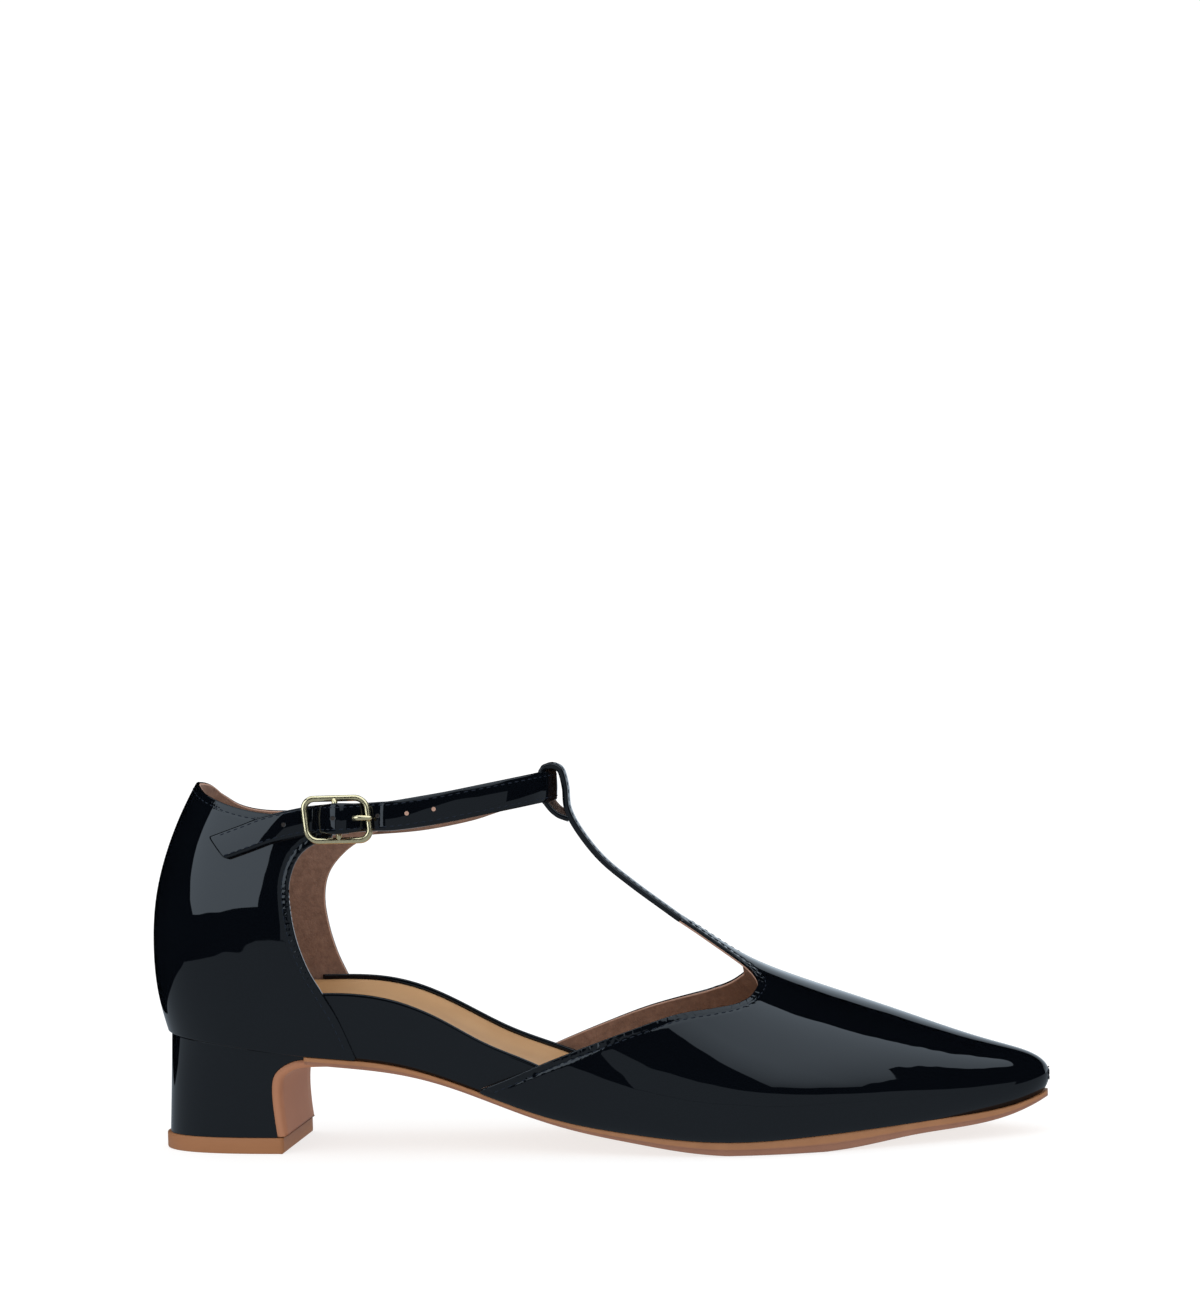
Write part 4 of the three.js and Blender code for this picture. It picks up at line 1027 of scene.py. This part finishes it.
BUCKLE_ALONG = QUARTER_FRONT["along"][0] * SHOE_LENGTH + BUCKLE_AHEAD
STRAP_LEVEL = BACK_HEIGHT - STRAP_DROP
LOOP_LEVEL = STRAP_HEIGHT - LOOP_DROP
ANKLE_FRONT = T_STRAP["along"][5] * SHOE_LENGTH - LOOP_SLACK - (WALL + STRAP_THICKNESS) / 2
STRAP_OUT = STRAP_FIT + STRAP_THICKNESS / 2
EAR_LEAN = lean_at(BUCKLE_ALONG - BUCKLE_LENGTH / 2, STRAP_LEVEL, -1)
BAR_ACROSS = (cup_face(BUCKLE_ALONG - BUCKLE_LENGTH / 2, STRAP_LEVEL, -1) - STRAP_FIT - STRAP_THICKNESS - FIT
              - BUCKLE_WIRE / 2)


def path_through(points, per_span=24):
    """Smooth path through points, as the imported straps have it."""
    points = np.asarray(points, float)
    points = np.concatenate([[2 * points[0] - points[1]], points, [2 * points[-1] - points[-2]]])
    shares = np.arange(per_span) / per_span
    out = [catmull(*points[i - 1:i + 3], t) for i in range(1, len(points) - 2) for t in shares]
    return np.array(out + [points[-2]])


def lengths_along(points):
    return np.concatenate([[0], np.cumsum(np.linalg.norm(np.diff(points, axis=0), axis=1))])


def taken(rows, lengths, at):
    """Rows of three numbers, read off at lengths between them."""
    return np.stack([np.interp(at, lengths, rows[:, k]) for k in range(3)], axis=-1)


def full_turn(count):
    return np.linspace(0, 2 * math.pi, count, endpoint=False)


class Strap:
    """A strap's middle line with its across and outward directions, by length along it."""

    def __init__(self, middle, above):
        self.middle = middle
        run = unit(np.gradient(middle, axis=0))
        across = above - middle
        self.across = unit(across - run * np.einsum("ij,ij->i", across, run)[:, None])
        self.out = np.cross(run, self.across)
        self.length = lengths_along(middle)

    def at(self, length, w, o):
        """Points at lengths along, w across and o outward, all in mm."""
        length, w, o = np.broadcast_arrays(length, w, o)
        frames = (self.middle, self.across, self.out)
        middle, across, out = (taken(rows, self.length, length) for rows in frames)
        return middle + across * w[..., None] + out * o[..., None]


def strap_section(half, thick, arch):
    """Closed outline of a strap, as (across, out) pairs, and where its lined face starts and ends."""
    soft, count = 0.42, 15
    flat = np.linspace(-(half - soft), half - soft, count)
    outer = [(w, thick / 2 - arch * (w / half) ** 2) for w in flat]
    turn = np.linspace(0, math.pi / 2, 5)[1:]
    edge_top = thick / 2 - arch - soft
    right = [(half - soft + soft * math.sin(a), edge_top + soft * math.cos(a)) for a in turn]
    low = -thick / 2
    right_low = [(half, low + 0.2), (half - 0.2, low)]
    inner = [(w, low) for w in np.linspace(half - 0.6, -(half - 0.6), 7)]
    left_low = [(-(half - 0.2), low), (-half, low + 0.2)]
    left = [(-w, o) for w, o in right[::-1]]
    return np.array(outer + right + right_low + inner + left_low + left), count + 5, count + 5 + 9


def ankle_strap_path():
    under = BAR_ACROSS + BUCKLE_WIRE / 2 + FIT + STRAP_THICKNESS / 2
    over = BAR_ACROSS - BUCKLE_WIRE / 2 - 3 * FIT - TAB_THICKNESS - STRAP_THICKNESS / 2
    end = (BUCKLE_LENGTH - BUCKLE_WIRE) / 2
    ramp = end / 2
    rows = []

    def on_cup(behind, rise, side):
        x, z = BUCKLE_ALONG - behind * BUCKLE_LENGTH, STRAP_LEVEL + rise * STRAP_WIDTH
        rows.append((x, cup_face(x, z, side) + side * STRAP_OUT, z, lean_at(x, z, side)))

    for behind, rise in zip(FREE_END["behind"], FREE_END["rise"]):
        on_cup(behind, rise, -1)
    for ahead, y, rise in (
        (-end - ramp / 2, under, -0.08), (-end + ramp / 4, under, -0.035), (-ramp, (under + over) / 2, -0.01),
        (0, over, 0), (ramp, (under + over) / 2, 0), (end - ramp / 4, under, 0), (end + ramp / 2, under, 0.01),
        (2 * end - ramp / 4, under - FIT / 2, 0.035),
    ):
        rows.append((BUCKLE_ALONG + ahead, y, STRAP_LEVEL + rise * STRAP_WIDTH, EAR_LEAN))
    for behind, across, rise, lean in zip(*(ANKLE_LOOP[c] for c in ("behind", "across", "rise", "lean"))):
        z = STRAP_LEVEL + (LOOP_LEVEL - STRAP_LEVEL) * rise
        rows.append((ANKLE_FRONT - behind * ANKLE_WIDTH, across * (ANKLE_WIDTH - STRAP_THICKNESS), z, lean))
    for behind, rise in zip(SEWN_END["behind"], SEWN_END["rise"]):
        on_cup(behind, rise, 1)
    rows = np.array(rows)
    middle = path_through(rows[:, :3])
    above = path_through(np.stack([rows[:, 0], rows[:, 1] + rows[:, 3], rows[:, 2] + 1], axis=1))
    return Strap(middle, above)


ANKLE = ankle_strap_path()
BAR_LENGTH = float(np.interp(BUCKLE_ALONG, ANKLE.middle[:200, 0], ANKLE.length[:200]))


def strap_spread(length):
    """The strap is drawn in a little behind the buckle, and bulges over its bar."""
    over_bar = np.exp(-((length - BAR_LENGTH) / 4.5) ** 2)
    return 0.91 + 0.09 * eased(length, BAR_LENGTH, BAR_LENGTH + 30) + 0.1 * over_bar


def ankle_strap():
    section, outer_end, inner_end = strap_section(STRAP_WIDTH / 2, STRAP_THICKNESS, 0.28)
    w, o = section[:, 0], section[:, 1]
    # The free end is cut on a slant, its corners a little rounded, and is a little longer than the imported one
    slant = 0.8 * FREE_SLANT * (0.5 - w / STRAP_WIDTH)
    corner = 0.5 * (2 * np.abs(w) / STRAP_WIDTH) ** 10
    tip = BUCKLE_ALONG - FREE_LENGTH - FREE_EXTRA + slant + corner
    near = ANKLE.length < 40
    start = np.interp(tip, ANKLE.middle[near, 0], ANKLE.length[near])
    rows = 430
    length = start + (ANKLE.length[-1] - start) * np.linspace(0, 1, rows)[:, None]
    rings = ANKLE.at(length, w * strap_spread(length), o)
    piece = lofted("ankle_strap_patent", rings, [PATENT_PLAIN, LINING_SUEDE],
                   slot_of=lambda k: k < (rows - 1) * len(w) and outer_end < k % len(w) < inner_end)
    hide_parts("ankle_strap")
    return start[7]


def t_strap_path():
    """Middle of the T-strap, from inside the vamp's wall up to its end inside the loop."""
    rows = [strap_root_point(x) for x in (0.63 * SHOE_LENGTH, 0.612 * SHOE_LENGTH, STRAP_CUT)]
    for along, height in zip(T_STRAP["along"], T_STRAP["height"]):
        y = float(t_strap_line(along * SHOE_LENGTH)) * float(eased(along, 0.5, 0.6))
        rows.append((along * SHOE_LENGTH, y, INSTEP_HEIGHT + (STRAP_HEIGHT - INSTEP_HEIGHT) * height))
    middle = path_through(rows)
    return Strap(middle, middle - [0, 1, 0])


def strap_root_point(x):
    """Half a wall inside the vamp's face, on the T-strap's middle line."""
    around = np.linspace(1.3, 2.7, 200)
    r = np.full(200, math.sqrt(SHOE_LENGTH - x))
    section = vamp_point(r, around)
    normal = face_normals(vamp_point, r, around, VAMP_STEPS)
    inside = section - WALL / 2 * normal
    y = float(t_strap_line(x))
    return tuple(float(np.interp(y, section[:, 1], inside[:, k])) for k in range(3))


T_PATH = t_strap_path()
T_START = np.interp(-STRAP_CUT + 0.3, -T_PATH.middle[:120, 0], T_PATH.length[:120])


def t_strap_bend(along, w):
    """How far the T-strap bends down across its width: the vamp's crown fades into a slight arch and lean."""
    root = vamp_point(np.full(300, math.sqrt(SHOE_LENGTH - STRAP_CUT)), np.linspace(1.2, 2.8, 300))
    y = float(t_strap_line(STRAP_CUT))
    crown = np.interp(y - w, root[:, 1], root[:, 2]) - np.interp(y, root[:, 1], root[:, 2])
    fade = 1 - eased(along, 0, 60)
    loose = 1 - eased(along, 75, 95)
    return fade * crown + (1 - fade) * loose * (0.1 * w - 0.75 * (2 * w / T_STRAP_WIDTH) ** 2)


def t_strap():
    half = T_STRAP_WIDTH / 2
    section, outer_end, inner_end = strap_section(half, WALL, 0.0)
    w, o = section[:, 0], section[:, 1]
    rows = 330
    length = np.linspace(T_START, T_PATH.length[-1], rows)[:, None]
    rings = T_PATH.at(length, w, o + t_strap_bend(length - T_START, w))
    piece = lofted("t_strap_patent", rings, [PATENT_PLAIN, LINING_SUEDE],
                   slot_of=lambda k: k < (rows - 1) * len(w) and outer_end < k % len(w) < inner_end)
    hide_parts("upper")


ankle_start = ankle_strap()
t_strap()

# Buckle

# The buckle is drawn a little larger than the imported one, slanted and moved, after the photo
BUCKLE_SCALE = 1.06
BUCKLE_SKEW = 0.13
BUCKLE_BACK = 0.8
BUCKLE_DOWN = 0.4


def leaned(points):
    """Drawn flat round the centre bar, then leaned with the strap."""
    points = np.asarray(points, float) * [BUCKLE_SCALE, 1, BUCKLE_SCALE]
    points = points - points[..., 2:] * [BUCKLE_SKEW, 0, 0]
    angle = -math.atan(EAR_LEAN)
    y = points[..., 1] * math.cos(angle) - points[..., 2] * math.sin(angle)
    z = points[..., 1] * math.sin(angle) + points[..., 2] * math.cos(angle)
    x = points[..., 0] + BUCKLE_ALONG - BUCKLE_BACK
    return np.stack([x, y + BAR_ACROSS, z + STRAP_LEVEL - BUCKLE_DOWN], axis=-1)


def swept(path, run, side, radius, wide=1.0, flat=1.0, count=14):
    """Rings of a wire along a path: side is across the wire in its own plane."""
    turn = full_turn(count)[None, :, None]
    other = np.cross(unit(run), side)
    radius = np.broadcast_to(radius, len(path))[:, None, None]
    return path[:, None] + radius * (wide * np.cos(turn) * side[:, None] + flat * np.sin(turn) * other[:, None])


def buckle_frame():
    right = BUCKLE_LENGTH / 2 - BUCKLE_WIRE / 2
    up = BUCKLE_HEIGHT / 2 - BUCKLE_WIRE / 2
    signs = ((1, 1), (-1, 1), (-1, -1), (1, -1))
    corners = [np.array([sx * (right - BUCKLE_CORNER), 0, sz * (up - BUCKLE_CORNER)]) for sx, sz in signs]
    path, side = [], []
    for quarter, corner in enumerate(corners):
        for angle in (quarter + np.linspace(0, 1, 12)) * math.pi / 2:
            away = np.array([math.cos(angle), 0, math.sin(angle)])
            path.append(corner + away * BUCKLE_CORNER)
            side.append(away)
        end = path[-1]
        to = corners[(quarter + 1) % 4] + away * BUCKLE_CORNER
        for share in np.linspace(0, 1, 8)[1:-1]:
            path.append(end + (to - end) * share)
            side.append(away)
    path, side = np.array(path), np.array(side)
    run = np.roll(path, -1, axis=0) - np.roll(path, 1, axis=0)
    wire = BUCKLE_WIRE / 2
    rings = swept(path, run, side, wire, wide=1.05, flat=0.95, count=16)
    piece = lofted("buckle_frame_gold", leaned(rings), [GOLD], joined=True)
    bar = np.stack([np.zeros(9), np.zeros(9), np.linspace(-up, up, 9)], axis=1)
    bar_rings = swept(bar, np.gradient(bar, axis=0), np.tile([1.0, 0, 0], (9, 1)), wire)
    bar_piece = lofted("buckle_bar_gold", leaned(bar_rings), [GOLD])
    for made in (piece, bar_piece):
        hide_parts("buckle_frame")


def buckle_prong():
    """Prong: a ring round the bar, and a tapered pin that crosses the strap to the frame."""
    eye = BUCKLE_WIRE / 2 + FIT
    ring_turn = full_turn(24)
    away = np.stack([np.cos(ring_turn), np.sin(ring_turn), np.zeros(24)], axis=1)
    turn = full_turn(10)
    thin = 0.35
    upright = np.array([0, 0, PRONG_WIDTH / 2])
    rings = (away * (eye + thin))[:, None] + thin * np.cos(turn)[None, :, None] * away[:, None] + (
        upright * np.sin(turn)[None, :, None])
    ring = lofted("prong_ring_gold", leaned(rings), [GOLD], joined=True)
    tip = BUCKLE_LENGTH / 2 + 0.5
    path = path_through([(0.3, -eye + 0.2, 0), (2.4, -eye + 0.1, 0), (4.4, -eye - 0.5, 0), (6.0, -eye - 1.3, 0),
                         (7.6, -eye - 1.2, 0), (tip, -eye - 0.45, 0)], 8)
    taper = np.interp(np.linspace(0, 1, len(path)), [0, 0.7, 0.95, 1], [0.75, 0.7, 0.62, 0.3])
    pin_rings = swept(path, np.gradient(path, axis=0), np.tile([0, 0, 1.0], (len(path), 1)), taper, flat=0.75)
    pin = lofted("prong_pin_gold", leaned(pin_rings), [GOLD])
    for made in (ring, pin):
        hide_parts("buckle_prong")


buckle_frame()
buckle_prong()
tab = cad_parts["buckle_tab"]
tab.data.materials.clear()
tab.data.materials.append(PATENT_PLAIN)

# Stitches


def runs_of(points, normals, mask):
    """Stretches of a closed edge where the mask holds."""
    first = int(np.argmin(mask)) if not mask.all() else 0
    order = np.roll(np.arange(len(points)), -first)
    stretch, out = [], []
    for i in order:
        if mask[i]:
            stretch.append(i)
        elif stretch:
            out.append(stretch)
            stretch = []
    if stretch:
        out.append(stretch)
    return [(points[run], normals[run]) for run in out if len(run) > 8]


STITCH_LENGTH = 1.6
STITCH_PITCH = 2.2
STITCH_RADIUS = 0.2
STITCH_SINK = 0.13
STITCH_ARCH = 0.06
STITCH_SHAPE = ((-0.5, 0.0), (-0.42, 0.6), (-0.2, 1.0), (0.2, 1.0), (0.42, 0.6), (0.5, 0.0))  # along, thickness


def stitches(name, lines, node):
    """Rows of small thread pieces, sunk a little into the leather."""
    turn = full_turn(6)
    points, faces = [], []
    for at, normal in lines:
        length = lengths_along(at)
        count = int(length[-1] / STITCH_PITCH)
        for k in range(count):
            centre = (k + 0.5) * length[-1] / count
            here = taken(at, length, centre)
            run = unit(taken(at, length, centre + 0.6) - taken(at, length, centre - 0.6))
            up = taken(normal, length, centre)
            up = unit(up - run * (up @ run))
            side = np.cross(up, run)
            base = sum(len(p) for p in points)
            rings = []
            for along, wide in STITCH_SHAPE:
                arch = STITCH_ARCH * (1 - (2 * along) ** 2)
                mid = here + run * along * STITCH_LENGTH + up * (arch - STITCH_SINK)
                rings.append(mid + STITCH_RADIUS * max(wide, 0.05) * (
                    np.cos(turn)[:, None] * side + np.sin(turn)[:, None] * up))
            points.append(np.concatenate(rings))
            faces += tube_faces(len(STITCH_SHAPE), 6, base=base)
    piece = add_mesh(name, np.concatenate(points), faces, [THREAD])
    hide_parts(node)


def upper_seams():
    lines = []
    for skin in (vamp_skin, quarter_skin):
        for at, normal, away in skin.edges:
            inset = at - SEAM_INSET * away
            mask = sewn_part(at)
            if skin is vamp_skin:
                mask &= (at[:, 0] > STRAP_CUT + 0.3) | (at[:, 2] < STRAP_FOOT)
            lines += runs_of(inset, normal, mask)
    stitches("upper_stitches", lines, "upper")


def strap_seams():
    lines = []
    inset = STRAP_WIDTH / 2 - 1.25
    for w in (-inset, inset):
        length = np.linspace(ankle_start + 1.6, ANKLE.length[-1] - 3, 600)
        at = ANKLE.at(length, w, STRAP_THICKNESS / 2 - 0.28 * (w / STRAP_WIDTH * 2) ** 2)
        over = ANKLE.at(length, w, STRAP_THICKNESS / 2 + 1) - ANKLE.at(length, w, STRAP_THICKNESS / 2)
        lines.append((at, over))
    stitches("ankle_strap_stitches", lines, "ankle_strap")
    lines = []
    inset = T_STRAP_WIDTH / 2 - SEAM_INSET
    for w in (-inset, inset):
        length = np.linspace(T_START, T_PATH.length[-1] - 8, 500)
        face = WALL / 2 + t_strap_bend(length - T_START, w)
        at = T_PATH.at(length, w, face)
        lines.append((at, T_PATH.at(length, w, face + 1) - at))
    stitches("t_strap_stitches", lines, "upper")


upper_seams()
strap_seams()

# Holes punched along the ankle strap: place along the shoe, and whether the raw edge shows; where it doesn't,
# the hole's middle is a flat disc in near-black painted shade, standing in for the shade inside the hole
HOLES = ((44.5, False), (59.8, False), (71.2, False), (79.0, True), (86.2, True))
# A hole's rings: radius and height, from its rim down to its middle
HOLE_RINGS = ((0.9, 0.06), (0.75, 0.066), (0.6, 0.06), (0.5, 0.01), (0.05, 0.0))


def punched_holes():
    turn = full_turn(20)
    points, faces, slots = [], [], []
    near = ANKLE.middle[:, 1] < -10
    for x, raw in HOLES:
        centre = np.interp(x, ANKLE.middle[near, 0], ANKLE.length[near])
        base = sum(len(p) for p in points)
        rings = []
        for radius, height in HOLE_RINGS:
            along = centre + radius * np.cos(turn)
            rings.append(ANKLE.at(along, radius * np.sin(turn), STRAP_THICKNESS / 2 + height))
        points.append(np.concatenate(rings))
        made = tube_faces(len(rings), 20, base=base)
        faces += made
        # The rim takes the patent; the hole's middle takes the raw edge, or else the near-black painted shade
        # of the hole's depth
        slots += [(0 if k < 40 else 1 if raw else 2) for k in range(len(made))]
    piece = add_mesh("strap_holes", np.concatenate(points), faces, [PATENT_PLAIN, RAW_EDGE, HOLE_SHADE], slots=slots)
    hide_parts("ankle_strap")


punched_holes()

# Camera and light

CAMERA_TURN = math.radians(6.009)
CAMERA_ROLL = math.radians(1.788)
CAMERA_DISTANCE = 930.0
CAMERA_HEIGHT = 137.815
CAMERA_AIM = 131.675
CAMERA_LENS = 89.66
SENSOR_WIDTH = 36


def add_camera():
    data = bpy.data.cameras.new("camera")
    data.sensor_width = SENSOR_WIDTH
    data.lens = CAMERA_LENS
    camera = linked("camera", data)
    back = np.array([math.sin(CAMERA_TURN), -math.cos(CAMERA_TURN), 0.0])
    right = np.array([math.cos(CAMERA_TURN), math.sin(CAMERA_TURN), 0.0])
    up = np.array([0.0, 0.0, 1.0])
    across = math.cos(CAMERA_ROLL) * right - math.sin(CAMERA_ROLL) * up
    above = math.sin(CAMERA_ROLL) * right + math.cos(CAMERA_ROLL) * up
    place = (np.array([CAMERA_AIM, 0, CAMERA_HEIGHT]) + back * CAMERA_DISTANCE + ORIGIN) * MM
    matrix = Matrix.Identity(4)
    for i, axis in enumerate((across, above, back, place)):
        for j in range(3):
            matrix[j][i] = float(axis[j])
    camera.matrix_world = matrix
    bpy.context.scene.camera = camera


def add_floor():
    material, tree, shader = nodes_of("floor")
    tone = mixed(tree, noise(tree, 3), (0.35, 0.35, 0.35), (0.37, 0.37, 0.37))
    tree.links.new(tone, shader.inputs["Base Color"])
    finish(shader, Emission_Color=(1, 1, 1, 1), Emission_Strength=0.72, Roughness=1.0, Specular_IOR_Level=0.0)
    mesh = bpy.data.meshes.new("floor")
    mesh.from_pydata([(-6, -6, 0), (6, -6, 0), (6, 6, 0), (-6, 6, 0)], [], [(0, 1, 2, 3)])
    mesh.materials.append(material)
    floor = linked("floor", mesh)
    floor.visible_glossy = False


def add_softbox(name, place, towards, size, strength):
    """Area light that no reflection shows, in metres; its strength is its radiance."""
    data = bpy.data.lights.new(name, "AREA")
    data.shape = "RECTANGLE"
    data.size, data.size_y = size
    data.energy = strength * math.pi * size[0] * size[1]
    light = linked(name, data)
    light.visible_glossy = False
    place = Vector(place)
    light.location = place
    light.rotation_mode = "QUATERNION"
    light.rotation_quaternion = (Vector(towards) - place).to_track_quat("-Z", "Y")


def add_world():
    world = bpy.data.worlds.new("studio")
    bpy.context.scene.world = world
    world.use_nodes = True
    background = world.node_tree.nodes["Background"]
    background.inputs["Color"].default_value = (1, 1, 1, 1)
    background.inputs["Strength"].default_value = 1.08
    world.cycles_visibility.glossy = False


def add_card(name, corners, middle, glows):
    """Soft reflector that only shows in reflections: a fan round its middle, its glow given point by point."""
    mesh = bpy.data.meshes.new(name)
    count = len(corners)
    mesh.from_pydata([middle] + list(corners), [], [(0, 1 + i, 1 + (i + 1) % count) for i in range(count)])
    point_values(mesh, "glow", glows)
    mesh.materials.append(CARD_LIGHT)
    card = linked(name, mesh)
    card.visible_camera = False
    card.visible_diffuse = False
    card.visible_shadow = False
    card.visible_transmission = False


def card_light():
    material = bpy.data.materials.new("card_light")
    material.use_nodes = True
    tree = material.node_tree
    tree.nodes.clear()
    glow = add_node(tree, "ShaderNodeAttribute", attribute_name="glow").outputs["Fac"]
    light = add_node(tree, "ShaderNodeEmission", {"Color": (0.74, 0.87, 1.0, 1.0), "Strength": glow})
    add_node(tree, "ShaderNodeOutputMaterial", {"Surface": light.outputs["Emission"]})
    material.cycles.emission_sampling = "NONE"
    return material


CARD_LIGHT = card_light()


def flat_card(name, height, corners, middle, glows):
    add_card(name, [(x, y, height) for x, y in corners], (*middle, height), glows)


add_camera()
add_floor()
add_world()
bpy.context.scene.view_settings.view_transform = "Standard"

# What the patent mirrors, in metres: a pale table and its low front edge, a large slanting diffuser above, a
# box at the heel side and a board behind. Each card's last list is the glow of its middle and of its corners.
TABLE_LEVEL = -0.003
TABLE_FRONT = -1.3
TABLE_RIGHT = 2.6
TABLE_GLOW = 0.36
DIFFUSER_LEVEL = 0.9

flat_card(
    "table_card", TABLE_LEVEL,
    [(-0.75, TABLE_FRONT), (TABLE_RIGHT, TABLE_FRONT), (TABLE_RIGHT, 1.0), (-0.25, 1.0), (-0.25, 0.1),
     (-0.75, -0.2)],
    (0.3, -0.5), [TABLE_GLOW] * 7)
FRONT_EDGE = ((-0.57, 0), (TABLE_RIGHT, 0), (TABLE_RIGHT, 0.45), (1.0, 0.37), (-0.57, 0.37))
add_card("front_card", [(x, TABLE_FRONT, z) for x, z in FRONT_EDGE], (0.7, TABLE_FRONT, 0.2), [TABLE_GLOW] * 6)
flat_card(
    "diffuser_card", DIFFUSER_LEVEL,
    [(-0.71, -0.12), (0.12, -1.07), (0.88, -2.02), (1.9, -1.57), (1.44, -0.92), (0.94, -0.44), (0.8, -0.03),
     (0.59, 0.27), (-0.71, 0.4)],
    (0.55, -0.7), [1.35, 1.6, 0.95, 0.5, 0.55, 0.85, 1.2, 1.4, 1.6, 1.6])
add_card(
    "heel_side_card",
    [(-0.61, -1.02, 0.14), (-1.03, -0.46, 0.14), (-1.21, -0.22, 0.44), (-1.21, -0.22, 1.0),
     (-0.61, -1.02, 1.0)],
    (-0.9, -0.63, 0.55), [1.8, 1.7, 1.7, 1.75, 1.9, 1.9])
add_card("back_card", [(-0.1, 1.6, 0), (2.5, 1.6, 0), (2.5, 1.6, 0.9), (-0.1, 1.6, 0.9)], (1.2, 1.6, 0.45),
         [0.7, 1.0, 1.0, 0.4, 0.4])
add_softbox("key", (-0.5, -0.9, 1.1), (0, 0, 0.03), (0.7, 0.7), 0.8)
